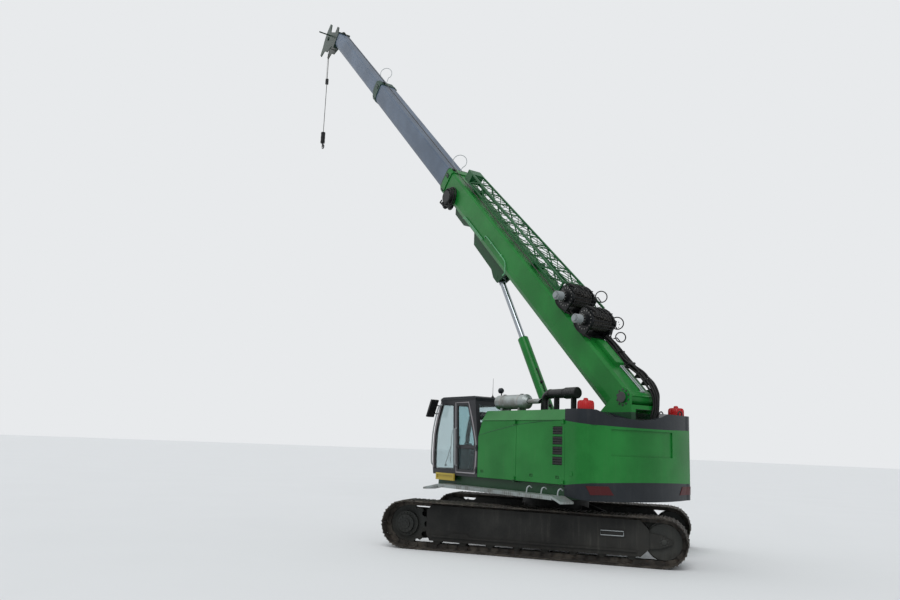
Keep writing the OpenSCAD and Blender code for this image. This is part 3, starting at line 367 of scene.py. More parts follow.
class Graph:
    """The node tree of one material."""

    def __init__(self, name: str) -> None:
        """Starts a material with a Principled shader and its output.

        Args:
            name: the material's name.
        """
        self.material = bpy.data.materials.new(name)
        self.material.use_nodes = True
        self.tree = self.material.node_tree
        self.tree.nodes.clear()
        self.place = self.wire(self.node("ShaderNodeTexCoord"), "Object")
        self.shader = self.node("ShaderNodeBsdfPrincipled")
        self.node("ShaderNodeOutputMaterial", inputs={"Surface": self.wire(self.shader)})

    def node(self, kind: str, settings: dict | None = None, inputs: dict | None = None) -> bpy.types.Node:
        """Adds a node.

        Args:
            kind: the node's type.
            settings: attributes, set first; "stops" is a ramp's list of place and colour.
            inputs: socket name, identifier or number, with the value or the wire that goes in.
        Returns:
            the node.
        """
        made = self.tree.nodes.new(kind)
        for key, value in (settings or {}).items():
            if key == "stops":
                while len(made.color_ramp.elements) < len(value):
                    made.color_ramp.elements.new(1.0)
                for element, (at, colour) in zip(made.color_ramp.elements, value):
                    element.position, element.color = at, (*colour, 1.0)
            else:
                setattr(made, key, value)
        for key, value in (inputs or {}).items():
            self.feed(made, key, value)
        return made

    def feed(self, node: bpy.types.Node, key: str | int, value: "Wire | float | tuple") -> None:
        """Puts a value or a wire into a socket.

        Args:
            node: the node.
            key: the socket's number, identifier or name.
            value: what goes in; a colour gets its alpha.
        """
        found = [node.inputs[key]] if isinstance(key, int) else (
            [s for s in node.inputs if s.identifier == key] or [s for s in node.inputs if s.name == key]
        )
        if isinstance(value, Wire):
            self.tree.links.new(value.socket, found[0])
        elif isinstance(value, tuple) and len(value) == 3 and len(found[0].default_value) == 4:
            found[0].default_value = (*value, 1.0)
        else:
            found[0].default_value = value

    def wire(self, node: bpy.types.Node, key: str | int = 0) -> Wire:
        """A node's output as a wire, found by its number, identifier or name."""
        named = (s for n, s in enumerate(node.outputs) if key in (n, s.identifier, s.name))
        return Wire(self, next(named))

    def maths(self, operation: str, *values: "Wire | float") -> Wire:
        """One Math node on wires and numbers."""
        return self.wire(self.node("ShaderNodeMath", {"operation": operation}, dict(enumerate(values))))

    def span(self, value: Wire, low: float, high: float, to_low: float = 0.0, to_high: float = 1.0) -> Wire:
        """Value carried smoothly from low..high to to_low..to_high, and held at the ends."""
        return self.wire(self.node("ShaderNodeMapRange", {"interpolation_type": "SMOOTHSTEP"}, {
            "Value": value, "From Min": low, "From Max": high, "To Min": to_low, "To Max": to_high}))

    def part(self, number: int) -> Wire:
        """One part of the object coordinates: 0, 1 or 2 for x, y or z."""
        return self.wire(self.node("ShaderNodeSeparateXYZ", None, {0: self.place}), number)

    def upward(self) -> Wire:
        """How far the surface faces up, from -1 to 1."""
        normal = self.wire(self.node("ShaderNodeTexCoord"), "Normal")
        return self.wire(self.node("ShaderNodeSeparateXYZ", None, {0: normal}), 2)

    def stretched(self, scale: Point) -> Wire:
        """Object coordinates stretched by a Mapping node."""
        return self.wire(self.node("ShaderNodeMapping", {"vector_type": "TEXTURE"}, {
            "Vector": self.place, "Scale": tuple(1 / v for v in scale)}))

    def noise(self, scale: float, detail: float = 3.0, rough: float = 0.55, at: Wire | None = None) -> Wire:
        """Cloudy noise of about 0.25 to 0.75, with `scale` lumps to the metre."""
        return self.wire(self.node("ShaderNodeTexNoise", None, {
            "Vector": at or self.place, "Scale": scale, "Detail": detail, "Roughness": rough}))

    def along(self, axes: Axes, direction: Point) -> Wire:
        """Distance of the point along a direction: its place less the origin, times the direction.

        Args:
            axes: the turned frame whose origin counts.
            direction: in the crane's own frame.
        Returns:
            the distance.
        """
        less = self.node("ShaderNodeVectorMath", {"operation": "SUBTRACT"}, {0: self.place, 1: axes.origin})
        return self.wire(self.node("ShaderNodeVectorMath", {"operation": "DOT_PRODUCT"}, {
            0: self.wire(less), 1: direction}), "Value")

    def mixed(self, share: "Wire | float", a: "Wire | Colour", b: "Wire | Colour") -> Wire:
        """Colour a, with the share of colour b."""
        return self.wire(self.node("ShaderNodeMix", {"data_type": "RGBA"}, {
            "Factor_Float": share, "A_Color": a, "B_Color": b}), "Result_Color")

    def bump(self, height: Wire, depth: float, strength: float) -> Wire:
        """A normal that follows a height of 0 to 1 over `depth` metres."""
        return self.wire(self.node("ShaderNodeBump", None, {
            "Height": height, "Distance": depth, "Strength": strength}))

    def close(self, **inputs: "Wire | float | Colour") -> bpy.types.Material:
        """Feeds the shader's sockets.

        Args:
            inputs: what each socket gets, by its name with _ for a space.
        Returns:
            the material.
        """
        for key, value in inputs.items():
            self.feed(self.shader, key.replace("_", " "), value)
        return self.material


DUST = tone(112, 110, 102)
MUD = tone(52, 47, 41)
DRY_MUD = tone(92, 86, 77)


@dataclass(frozen=True)
class Mark:
    """A zone of another colour, between two heights along one direction of a sub-assembly's frame."""

    axes: Axes
    direction: Point
    low: float
    high: float
    colour: Colour
    mirrored: bool = False
    edge: float = 0.001

    def share(self, graph: Graph) -> Wire:
        """Is 1 between the two heights and 0 outside, with a soft edge.

        Args:
            graph: the material's nodes.
        Returns:
            the share.
        """
        at, half = graph.along(self.axes, self.direction), self.edge / 2
        at = abs(at) if self.mirrored else at
        return graph.span(at, self.low - half, self.low + half) * graph.span(
            at, self.high - half, self.high + half, 1.0, 0.0)


@dataclass(frozen=True)
class Finish:
    """What every finish has; made once and then shared. Its name must not be that of one of the record's slots,
    because the frame comes with a plain material of that name."""

    name: str

    def build(self) -> bpy.types.Material:
        """Makes the material; each finish has its own."""
        raise NotImplementedError

    def material(self) -> bpy.types.Material:
        """The finish's material, made at its first use."""
        return bpy.data.materials.get(self.name) or self.build()


@dataclass(frozen=True)
class Paint(Finish):
    """Sprayed steel: cloudy colour, fine orange peel, run-down streaks, dust that gathers low and flat, mud thrown
    up from the ground, and small chips down to the primer."""

    colour: Colour
    roughness: float = 0.34
    coat: float = 0.06
    dust: float = 0.10
    mud: float = 0.0
    mud_top: float = 1.3
    chips: float = 0.25
    metallic: float = 0.0
    chip_colour: Colour = tone(70, 70, 68)
    marks: tuple[Mark, ...] = ()

    def build(self) -> bpy.types.Material:
        """Mixes the layers from the steel outwards.

        Returns:
            the material.
        """
        g = Graph(self.name)
        cloud = g.noise(0.9, 4.0)
        fine = g.noise(38.0, 3.0, 0.6)
        dark, light = tinted(self.colour, 0.80), tinted(self.colour, 1.14, 0.004)
        base = g.mixed(g.span(cloud, 0.35, 0.68), dark, light)
        base = g.mixed(g.span(fine, 0.42, 0.62) * 0.14, base, light)
        for mark in self.marks:
            base = g.mixed(mark.share(g), base, mark.colour)
        chip = g.span(g.noise(24.0, 5.0, 0.75), 0.705, 0.725) * g.span(g.noise(1.7, 2.0), 0.5, 0.62)
        base = g.mixed(chip * self.chips, base, self.chip_colour)
        streak = g.span(g.noise(1.0, 4.0, 0.6, g.stretched((14.0, 14.0, 0.9))), 0.5, 0.72)
        height, flat = g.part(2), g.span(g.upward(), 0.55, 0.95)
        grime = (streak * 0.55 + flat * 0.8 + g.span(height, 3.2, 0.9) * 0.35) * g.span(cloud + fine * 0.3, 0.45, 0.9)
        cover = (grime * self.dust).least(0.85)
        base = g.mixed(cover, base, DUST)
        rise = fine * 0.25
        if self.mud > 0:
            lumps = g.noise(6.0, 6.0, 0.7)
            thrown = g.span(height + lumps * 0.9, self.mud_top + 0.3, self.mud_top - 0.55)
            splash = g.span(lumps + g.noise(30.0, 3.0, 0.6) * 0.35, 0.78, 0.55)
            soil = (thrown * (splash * 0.75 + 0.25) * self.mud).least(1.0)
            base = g.mixed(soil, base, g.mixed(g.span(lumps, 0.4, 0.6), MUD, DRY_MUD))
            cover = cover.most(soil)
            rise = rise + soil * lumps * 3.0
        rough = g.span(fine, 0.3, 0.7, self.roughness - 0.05, self.roughness + 0.07) + cover * 0.4
        return g.close(Base_Color=base, Roughness=rough.least(0.95), Metallic=self.metallic,
                       Coat_Weight=self.coat, Coat_Roughness=0.12, Specular_IOR_Level=0.2,
                       Normal=g.bump(rise, 0.0022 if self.mud > 0 else 0.0008, 0.6))


@dataclass(frozen=True)
class TrackSteel(Finish):
    """Cast steel of the tracks: dark, rusty in patches, and packed with mud."""

    mud: float = 0.75

    def build(self) -> bpy.types.Material:
        """Steel, rust and two tones of mud, from coarse lumps over fine grit.

        Returns:
            the material.
        """
        g = Graph(self.name)
        lumps, grit = g.noise(7.0, 6.0, 0.68), g.noise(70.0, 4.0, 0.7)
        steel = g.mixed(g.span(grit, 0.35, 0.65), tone(26, 25, 24), tone(58, 55, 52))
        rust = g.mixed(g.span(g.noise(16.0, 4.0), 0.5, 0.66) * 0.5, steel, tone(66, 48, 36))
        soil = g.span(lumps + grit * 0.4, 0.86, 0.62)
        mud = g.mixed(g.span(g.noise(3.0, 5.0), 0.42, 0.6), tone(42, 38, 33), tone(88, 82, 73))
        base = g.mixed(soil * self.mud, rust, mud)
        return g.close(Base_Color=base, Metallic=(1 - soil) * 0.55, Roughness=0.5 + soil * 0.42,
                       Normal=g.bump(grit * 0.35 + soil * lumps, 0.006, 0.8))


@dataclass(frozen=True)
class Metal(Finish):
    """Bare metal: fine lines along one direction, and stains."""

    colour: Colour
    roughness: float = 0.3
    lines: Point = (60.0, 60.0, 4.0)
    stain: Colour = tone(92, 84, 74)
    stained: float = 0.35

    def build(self) -> bpy.types.Material:
        """Colour, lines and stains.

        Returns:
            the material.
        """
        g = Graph(self.name)
        lines = g.noise(4.0, 4.0, 0.6, g.stretched(self.lines))
        cloud = g.noise(3.0, 4.0)
        stain = g.span(cloud + lines * 0.3, 0.62, 0.82) * self.stained
        base = g.mixed(g.span(lines, 0.3, 0.7), tinted(self.colour, 0.86), self.colour)
        return g.close(Base_Color=g.mixed(stain, base, self.stain),
                       Metallic=1 - stain * 0.8,
                       Roughness=g.span(lines, 0.3, 0.7, self.roughness - 0.06, self.roughness + 0.1) + stain * 0.3,
                       Normal=g.bump(lines, 0.0006, 0.5))


@dataclass(frozen=True)
class TreadPlate(Finish):
    """Aluminium walkway plate: raised lens-shaped ribs in two crossing rows, worn brighter on top."""

    colour: Colour
    pitch: float = 0.045

    def build(self) -> bpy.types.Material:
        """Rib height is the product of two crossing waves, cut off at its crest.

        Returns:
            the material.
        """
        g = Graph(self.name)
        x, y = (g.part(n) * (2 * math.pi / self.pitch) for n in (0, 1))
        crossing = g.maths("SINE", x + y) * g.maths("SINE", (x - y) * 0.35)
        rib = g.span(abs(crossing), 0.55, 0.75)
        dirt = g.span(g.noise(5.0, 4.0), 0.42, 0.68) * 0.6 * (1.2 - rib)
        base = g.mixed(rib * 0.5, self.colour, tinted(self.colour, 1.35))
        return g.close(Base_Color=g.mixed(dirt.least(1.0), base, tone(98, 92, 84)), Metallic=0.55,
                       Roughness=0.42 + dirt * 0.4, Normal=g.bump(rib, 0.002, 0.8))


@dataclass(frozen=True)
class Plastic(Finish):
    """Moulded plastic or rubber: fine grain, chalky bloom and settled dust."""

    colour: Colour
    roughness: float = 0.55
    grain: float = 220.0
    bloom: float = 0.2
    ribs: Mark | None = None
    rib_pitch: float = 0.03
    marks: tuple[Mark, ...] = ()

    def build(self) -> bpy.types.Material:
        """Grain as bump, bloom as a paler colour in clouds; ribs as a wave along a direction.

        Returns:
            the material.
        """
        g = Graph(self.name)
        cloud, grain = g.noise(4.0, 4.0), g.noise(self.grain, 2.0)
        base = g.mixed(g.span(cloud, 0.42, 0.75) * self.bloom, self.colour, tinted(self.colour, 1.5, 0.03))
        for mark in self.marks:
            base = g.mixed(mark.share(g), base, mark.colour)
        base = g.mixed(g.span(g.upward(), 0.6, 1.0) * cloud * 0.2, base, DUST)
        rise = grain * 0.2
        if self.ribs:
            wave = g.maths("SINE", g.along(self.ribs.axes, self.ribs.direction) * (2 * math.pi / self.rib_pitch))
            rise = rise + g.span(wave, -0.4, 0.6) * self.ribs.share(g) * 3.0
        return g.close(Base_Color=base, Roughness=self.roughness + cloud * 0.2 - 0.1, Specular_IOR_Level=0.3,
                       Normal=g.bump(rise, 0.003 if self.ribs else 0.0006, 0.6))


@dataclass(frozen=True)
class Glazing(Finish):
    """Tinted safety glass with a cloudy film of dust."""

    tint: Colour
    clear: float = 0.97

    def build(self) -> bpy.types.Material:
        """Smooth tinted glass; the dust only makes it rougher and greyer.

        Returns:
            the material.
        """
        g = Graph(self.name)
        film = g.span(g.noise(5.0, 5.0, 0.6), 0.45, 0.8)
        return g.close(Base_Color=g.mixed(film * 0.25, self.tint, tone(190, 196, 196)), Roughness=0.03 + film * 0.08,
                       Transmission_Weight=self.clear, IOR=1.3)


@dataclass(frozen=True)
class Rope(Finish):
    """Laid wire rope: strands wound at a slant, dark with grease."""

    axes: Axes = UPPER
    direction: Point = UPRIGHT
    pitch: float = 0.03
    slant: float = 90.0

    def build(self) -> bpy.types.Material:
        """Strand height is a wave of the place along the rope plus the place across it times the slant.

        Returns:
            the material.
        """
        g = Graph(self.name)
        round_it = g.part(1) * self.slant
        wave = g.maths("SINE", g.along(self.axes, self.direction) * (2 * math.pi / self.pitch) + round_it)
        grease = g.noise(9.0, 4.0)
        base = g.mixed(g.span(wave, -0.6, 0.6), tone(28, 27, 26), tone(92, 90, 86))
        return g.close(Base_Color=g.mixed(g.span(grease, 0.45, 0.7) * 0.7, base, tone(30, 28, 25)), Metallic=0.6,
                       Roughness=0.45 + grease * 0.2, Normal=g.bump(wave, 0.003, 0.9))


@dataclass(frozen=True)
class SeatCloth(Finish):
    """Woven seat cloth: warp and weft as two crossing waves, with worn, paler patches."""

    colour: Colour = tone(44, 46, 50)
    thread: float = 0.004

    def build(self) -> bpy.types.Material:
        """Weave height is the greater of two crossing waves.

        Returns:
            the material.
        """
        g = Graph(self.name)
        threads = 2 * math.pi / self.thread
        weave = g.maths("SINE", g.part(1) * threads).most(g.maths("SINE", (g.part(0) + g.part(2)) * threads))
        worn = g.span(g.noise(7.0, 3.0), 0.45, 0.7)
        base = g.mixed(g.span(weave, 0.2, 1.0) * 0.5, self.colour, tinted(self.colour, 1.9, 0.01))
        return g.close(Base_Color=g.mixed(worn * 0.3, base, tone(86, 86, 84)), Roughness=0.85,
                       Sheen_Weight=0.3, Normal=g.bump(weave, 0.0006, 0.7))


@dataclass(frozen=True)
class PalePlain(Finish):
    """The studio floor: plain and pale, with the faintest cloud so that it isn't dead flat."""

    colour: Colour = tone(226, 227, 228)

    def build(self) -> bpy.types.Material:
        """Clouds of at most one part in twenty-five.

        Returns:
            the material.
        """
        g = Graph(self.name)
        return g.close(Base_Color=g.mixed(g.noise(0.35, 3.0), self.colour, tinted(self.colour, 0.96)), Roughness=0.9,
                       Specular_IOR_Level=0.1)


MACHINE_GREEN = (0.006, 0.162, 0.022)
# Dark green: the real colour of the base section's head collar, and also painted shade under the boom's belly.
DARK_GREEN_AND_PAINTED_SHADE = tone(6, 60, 28)
BAND_GREY = tone(24, 30, 36)


class Coat(Enum):
    """The finishes of this crane."""

    GREEN = Paint("machine_green", MACHINE_GREEN)
    HOUSING = Paint("housing_green", MACHINE_GREEN, dust=0.12, mud=0.1, mud_top=1.5)
    # The first mark is the dark green head collar. The second is painted shade: everything under the belly, lugs and
    # blocks, is darkened to stand for the shade beneath the boom.
    BASE_SECTION = Paint("base_section_green", MACHINE_GREEN, dust=0.12, marks=(
        Mark(BOOM, BOOM.x, 8.955, 9.2, DARK_GREEN_AND_PAINTED_SHADE), Mark(BOOM, BOOM.z, -1.6, -0.5625, DARK_GREEN_AND_PAINTED_SHADE)))
    JIB = Paint("jib_green", tone(6, 84, 38), dust=0.1)
    SLIDING_SECTION = Paint("sliding_section_grey", tone(84, 98, 116), roughness=0.4, dust=0.2,
                            chips=0.5, chip_colour=tone(56, 58, 60), marks=(
                                Mark(BOOM, BOOM.x, 14.898, 15.4, tone(20, 58, 44)),))
    HEAD = Paint("head_dark_green", tone(8, 42, 28), dust=0.1)
    DECK = Paint("deck_dark_green", tone(10, 58, 30), dust=0.2, mud=0.12, mud_top=1.5, marks=(
        Mark(UPPER, UPRIGHT, 2.74, 4.0, MACHINE_GREEN),))
    ANTHRACITE = Paint("anthracite", BAND_GREY, dust=0.12, mud=0.1, mud_top=1.35)
    FRAME = Paint("frame_black", tone(19, 20, 20), roughness=0.5, coat=0.0, dust=0.3, mud=0.45, mud_top=0.7)
    WHEELS = Paint("wheel_dark", tone(46, 48, 47), roughness=0.5, coat=0.0, dust=0.25, mud=0.5, mud_top=0.8,
                   metallic=0.3)
    CAB = Paint("cab_dark_grey", tone(44, 45, 49), dust=0.15)
    CAB_TRIM = Paint("cab_trim_grey", tone(142, 138, 142), dust=0.15)
    BRIGHT_GREY = Paint("light_grey", tone(160, 166, 168), dust=0.15)
    WINCH = Paint("winch_black", tone(20, 22, 24), dust=0.15, marks=(
        Mark(UPPER, ACROSS, 0.44, 0.7, tone(138, 144, 146), True),))
    YELLOW = Paint("step_yellow", tone(190, 168, 70), dust=0.3)
    RED = Plastic("cover_red", tone(172, 20, 24), 0.4, bloom=0.08, marks=(
        Mark(UPPER, UPRIGHT, 1.0, 2.0, tone(66, 3, 8)),))
    BLACK = Plastic("moulded_black", tone(24, 25, 26), 0.5)
    CLEANER = Plastic("air_pipe_black", tone(22, 23, 24), 0.45, ribs=Mark(
        UPPER, AHEAD, -1.29, -0.98, ORIGIN), rib_pitch=0.05)
    RUBBER = Plastic("hose_rubber", tone(18, 18, 18), 0.6, bloom=0.35)
    CABLE = Plastic("cable_grey", tone(150, 156, 158), 0.5)
    PIPES = Paint("pipe_pale_green", tone(96, 160, 116), dust=0.12)
    CAST = Paint("engine_cast", tone(70, 72, 72), roughness=0.6, coat=0.0, dust=0.5)
    TRACK = TrackSteel("worn_track", 0.6)
    MUFFLER = Metal("muffler_shell", tone(150, 157, 156), 0.4, (4.0, 60.0, 60.0), stained=0.6)
    CHROME = Metal("polished_rod", tone(158, 164, 170), 0.16, (60.0, 60.0, 8.0), stained=0.12)
    STEEL = Metal("fastener_steel", tone(150, 150, 147), 0.35)
    WALKWAY = TreadPlate("walkway_plate", tone(142, 150, 149))
    GLASS = Glazing("cab_glazing", tone(216, 228, 230))
    DOOR_GLASS = Glazing("door_glazing", tone(164, 198, 202))
    LENS = Glazing("lamp_lens", tone(236, 238, 236), 0.6)
    ROPE = Rope("hanging_rope")
    BOOM_ROPE = Rope("rope_on_boom", BOOM, BOOM.x)
    WOUND_ROPE = Rope("wound_rope", BOOM, ACROSS, 0.09)
    SEAT = SeatCloth("seat_cloth")
    FLOOR = PalePlain("studio_floor")


def dress(node: str, coat: Coat) -> None:
    """Gives a CAD node its finish, in every slot that it has."""
    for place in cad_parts[node].material_slots:
        place.material = coat.value.material()


SAME_PLACE = 1e-6


def make(name: str, surface: Surface, body: str | None, coat: Coat,
         sharp: float = 35.0) -> bpy.types.Object:
    """Turns a surface into a piece that rides on a body.

    Args:
        name: the piece's name.
        surface: its points and faces, in the crane's frame.
        body: the CAD body that carries it, or none for a piece that rides on no body.
        coat: its finish.
        sharp: angle, in degrees, past which an edge stays sharp.
    Returns:
        the object, with its normals pointing out.
    """
    mesh = bpy.data.meshes.new(name)
    mesh.from_pydata(surface.points.tolist(), [], [row for f in surface.faces for row in f.tolist()])
    work = bmesh.new()
    work.from_mesh(mesh)
    bmesh.ops.remove_doubles(work, verts=work.verts, dist=SAME_PLACE)
    bmesh.ops.recalc_face_normals(work, faces=work.faces)
    work.to_mesh(mesh)
    work.free()
    mesh.shade_smooth()
    mesh.set_sharp_from_angle(angle=math.radians(sharp))
    piece = bpy.data.objects.new(name, mesh)
    bpy.context.scene.collection.objects.link(piece)
    mesh.materials.append(coat.value.material())
    if body:
        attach(piece, body)
    LOG.info("%s: %d faces on %s", name, len(mesh.polygons), body or "two bodies")
    return piece


def blended(name: str, surface: Surface, ends: tuple[Array, Array],
            coat: Coat) -> bpy.types.Object:
    """Makes a piece that rides on no body, with its place baked into its points.

    Args:
        name: the piece's name.
        surface: its points and faces, in the crane's frame.
        ends: not used.
        coat: its finish.
    Returns:
        the object.
    """
    piece = make(name, surface, None, coat)
    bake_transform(piece)
    return piece


# ---- studio ----
@dataclass
class Studio:
    """Floor, soft light and the camera at the photograph's viewing angle."""

    eye: Point = (-12.689, 11.4275, 1.985)
    heading: float = 33.974
    rise: float = 10.594
    roll: float = 2.225
    lens: float = 31.2386
    reach: float = 300.0
    floor_height: float = -0.0005
    sky: Colour = tone(232, 234, 236)
    air_light: Colour = (0.93, 0.97, 1.0)
    air_strength: float = 0.62

    def stand(self, name: str, data: bpy.types.ID, x: Array, y: Array, z: Array, at: Point) -> bpy.types.Object:
        """Puts a camera or a lamp into the scene.

        Args:
            name: the object's name.
            data: the camera or the lamp.
            x, y, z: its three directions; it looks or shines against its z.
            at: its place.
        Returns:
            the object.
        """
        made = bpy.data.objects.new(name, data)
        matrix = np.eye(4)
        matrix[:3] = np.column_stack([x, y, z, at])
        made.matrix_world = Matrix(matrix.tolist())
        bpy.context.scene.collection.objects.link(made)
        return made

    def camera(self) -> None:
        """Right is square to the heading; the view rises from it and is then rolled."""
        a, t, r = (math.radians(v) for v in (self.heading, self.rise, self.roll))
        right = np.array([-math.sin(a), -math.cos(a), 0.0])
        ahead = np.array([math.cos(a), -math.sin(a), 0.0])
        view = ahead * math.cos(t) + np.array([0, 0, math.sin(t)])
        up = -ahead * math.sin(t) + np.array([0, 0, math.cos(t)])
        x = math.cos(r) * right + math.sin(r) * up
        y = -math.sin(r) * right + math.cos(r) * up
        data = bpy.data.cameras.new("camera")
        data.lens, data.sensor_width, data.sensor_fit = self.lens, 36.0, "HORIZONTAL"
        data.clip_end = 2 * self.reach
        bpy.context.scene.camera = self.stand("camera", data, x, y, -view, self.eye)

    def floor(self) -> None:
        """A wide flat sheet just under the tracks."""
        ways = np.array([[-1, -1], [1, -1], [1, 1], [-1, 1]]) * self.reach
        mesh = bpy.data.meshes.new("studio_floor")
        mesh.from_pydata(np.column_stack([ways, np.full(4, self.floor_height)]).tolist(), [], [(0, 1, 2, 3)])
        mesh.materials.append(Coat.FLOOR.value.material())
        floor = bpy.data.objects.new("studio_floor", mesh)
        bpy.context.scene.collection.objects.link(floor)

    def lamp(self, name: str, towards: Point, strength: float, spread: float) -> None:
        """A wide far light, so that its shadows are soft.

        Args:
            name: the lamp's name.
            towards: the place that it shines from, on to the origin.
            strength: its power.
            spread: how wide it is in the sky, in degrees.
        """
        data = bpy.data.lights.new(name, "SUN")
        data.energy, data.angle = strength, math.radians(spread)
        back = np.array(towards) / np.linalg.norm(towards)
        side = np.cross(UPRIGHT, back)
        side /= np.linalg.norm(side)
        self.stand(name, data, side, np.cross(back, side), back, ORIGIN)

    def air(self) -> None:
        """The world: soft light for the crane, and a plain pale backdrop for the camera, in reflections and
        through glass."""
        world = bpy.data.worlds.new("studio_air")
        bpy.context.scene.world = world
        world.use_nodes = True
        tree = world.node_tree
        tree.nodes.clear()
        seen, lit, path, first, last, mix, out = (tree.nodes.new(f"ShaderNode{kind}") for kind in (
            "Background", "Background", "LightPath", "Math", "Math", "MixShader", "OutputWorld"))
        seen.inputs["Color"].default_value = (*self.sky, 1.0)
        lit.inputs["Color"].default_value = (*self.air_light, 1.0)
        lit.inputs["Strength"].default_value = self.air_strength
        first.operation = last.operation = "MAXIMUM"
        for start, output, end, number in (
                (path, "Is Camera Ray", first, 0), (path, "Is Glossy Ray", first, 1), (first, 0, last, 0),
                (path, "Is Transmission Ray", last, 1), (last, 0, mix, 0), (lit, 0, mix, 1), (seen, 0, mix, 2),
                (mix, 0, out, 0)):
            tree.links.new(start.outputs[output], end.inputs[number])

    def build(self) -> None:
        """Sets the view, the floor and the light."""
        bpy.context.scene.view_settings.view_transform = "Standard"
        self.camera()
        self.floor()
        self.air()
        self.lamp("key_light", (-9.0, 9.0, 14.0), 1.15, 35.0)
        self.lamp("fill_light", (10.0, 4.0, 9.0), 0.45, 60.0)


# ---- undercarriage ----
class Side(Enum):
    """Left or right, as the sign of y."""

    LEFT = 1
    RIGHT = -1

    @property
    def word(self) -> str:
        """The word that the CAD names use."""
        return self.name.lower()

    def of(self, part: Surface) -> Surface:
        """A part drawn for the left, or its mirror image for the right."""
        return part if self is Side.LEFT else part.mirrored()


@dataclass
class Crawler:
    """One track: ribbed shoes, lapped chain links, the bolts and caps of its final drive and idler, the drive's
    plate, and the rim of the side frame's pocket."""

    side: Side
    track_y: float = 1.68
    sprocket_x: float = 2.65
    idler_x: float = -2.27
    sprocket_wrap: float = 0.46
    idler_wrap: float = 0.44
    pin_depth: float = 0.07
    shoes: int = 60
    shoe_half: float = 0.35
    shoe_base: float = 0.042
    shoe_face: float = 0.058
    rib_starts: tuple[float, ...] = (0.012, 0.092, 0.172)
    shoe_gap: float = 0.003
    lip: float = 0.024
    lip_thickness: float = 0.006
    lip_root: float = 0.03

    def piece(self, name: str, part: Surface, slot: str, coat: Coat, sharp: float = 35.0) -> bpy.types.Object:
        """Makes a piece of this side.

        Args:
            name: its name, after the side's word.
            part: its form in this side's frame of u ahead, v outwards from the track's middle, and height.
            slot: not used; coat, sharp: as for make.
        Returns:
            the object.
        """
        sign = self.side.value
        outward = part.points * [1.0, sign, 1.0] + [0.0, sign * self.track_y, 0.0]
        return make(f"{self.side.word}_{name}", Surface(UNDER.out(outward), part.faces), f"{self.side.word}_crawler",
                    coat, sharp)

    def pins(self) -> Array:
        """Pins of the chain: equal steps round the sprocket, back along the top, round the idler, and forward
        along the ground; on an arc, the middle plus radius times cosine and sine.

        Returns:
            (n, 2) places ahead and high.
        """
        skew = math.atan((self.sprocket_wrap - self.idler_wrap) / (self.sprocket_x - self.idler_x))
        r1, r2 = self.sprocket_wrap - self.pin_depth, self.idler_wrap - self.pin_depth
        run, top = self.sprocket_x - self.idler_x, math.pi / 2 + 2 * skew
        arc1, arc2 = r1 * (math.pi + 2 * skew), r2 * (math.pi - 2 * skew)
        s = np.arange(self.shoes) * (arc1 + arc2 + 2 * run) / self.shoes
        first, second, back = -math.pi / 2 + s / r1, top + (s - arc1 - run) / r2, s - arc1
        zones = [s < arc1, s < arc1 + run, s < arc1 + run + arc2]
        x = np.select(zones, [
            self.sprocket_x + r1 * np.cos(first),
            self.sprocket_x + r1 * math.cos(top) + back * math.cos(math.pi + 2 * skew),
            self.idler_x + r2 * np.cos(second)], self.idler_x + s - arc1 - run - arc2)
        z = np.select(zones, [
            self.sprocket_wrap + r1 * np.sin(first),
            self.sprocket_wrap + r1 * math.sin(top) + back * math.sin(math.pi + 2 * skew),
            self.idler_wrap + r2 * np.sin(second)], self.pin_depth)
        return np.column_stack([x, z])

    def round_the_loop(self, part: Surface) -> Surface:
        """Repeats a part on every link: pin plus first coordinate times the step's direction plus third coordinate
        times the direction away from the chain's middle. The step between pins sets the length.

        Args:
            part: a part whose first coordinate runs from pin to pin.
        Returns:
            its copies on all links.
        """
        p = self.pins()
        step = np.roll(p, -1, axis=0) - p
        length = np.linalg.norm(step, axis=1, keepdims=True)
        t = step / length
        n = np.column_stack([t[:, 1], -t[:, 0]])
        a = part.points[None, :, 0] * length / length.min()
        b = part.points[None, :, 2]
        x = p[:, :1] + a * t[:, :1] + b * n[:, :1]
        z = p[:, 1:] + a * t[:, 1:] + b * n[:, 1:]
        y = np.broadcast_to(part.points[None, :, 1], x.shape)
        return part.copied(np.stack([x, y, z], -1))

    def shoe(self, length: float) -> Surface:
        """A plate with three ribs across it and a lip that laps under the next one, as a side outline carried over
        the track's width.

        Args:
            length: the step between two pins.
        Returns:
            the shoe on a link from 0 to that length.
        """
        rib = [(0.0, self.shoe_face), (0.004, self.pin_depth), (0.014, self.pin_depth), (0.018, self.shoe_face)]
        outline = [(0.004, self.shoe_base), (0.003, self.shoe_face - 0.002)]
        outline += [(start + a, b) for start in self.rib_starts for a, b in rib]
        end, under = length - self.shoe_gap, self.shoe_base - self.lip_thickness
        outline += [(end, self.shoe_face - 0.002), (end, self.shoe_base - 0.0005),
                    (length + self.lip, self.shoe_base - 0.001), (length + self.lip, under),
                    (length - self.lip_root, under), (length - self.lip_root, self.shoe_base)]
        return prism(outline, -self.shoe_half, self.shoe_half)

    def link(self, length: float) -> Surface:
        """Two half straps on each side, lapped in the middle of the link, with the pin's head outside them.

        Args:
            length: the step between two pins.
        Returns:
            the link from 0 to that length.
        """
        strap = [(-0.022, -0.042), (-0.034, -0.026), (-0.038, 0.0), (-0.030, 0.026), (-0.010, 0.040),
                 (0.55 * length, 0.044), (0.55 * length, -0.042)]
        other = [(length - a, b) for a, b in strap]
        pin = turned([(-0.108, 0.0), (-0.108, 0.02), (0.108, 0.02), (0.108, 0.0)], ORIGIN, ACROSS, 8)
        return joined(both_sides(joined(prism(strap, 0.074, 0.1), prism(other, 0.045, 0.0735))), pin)

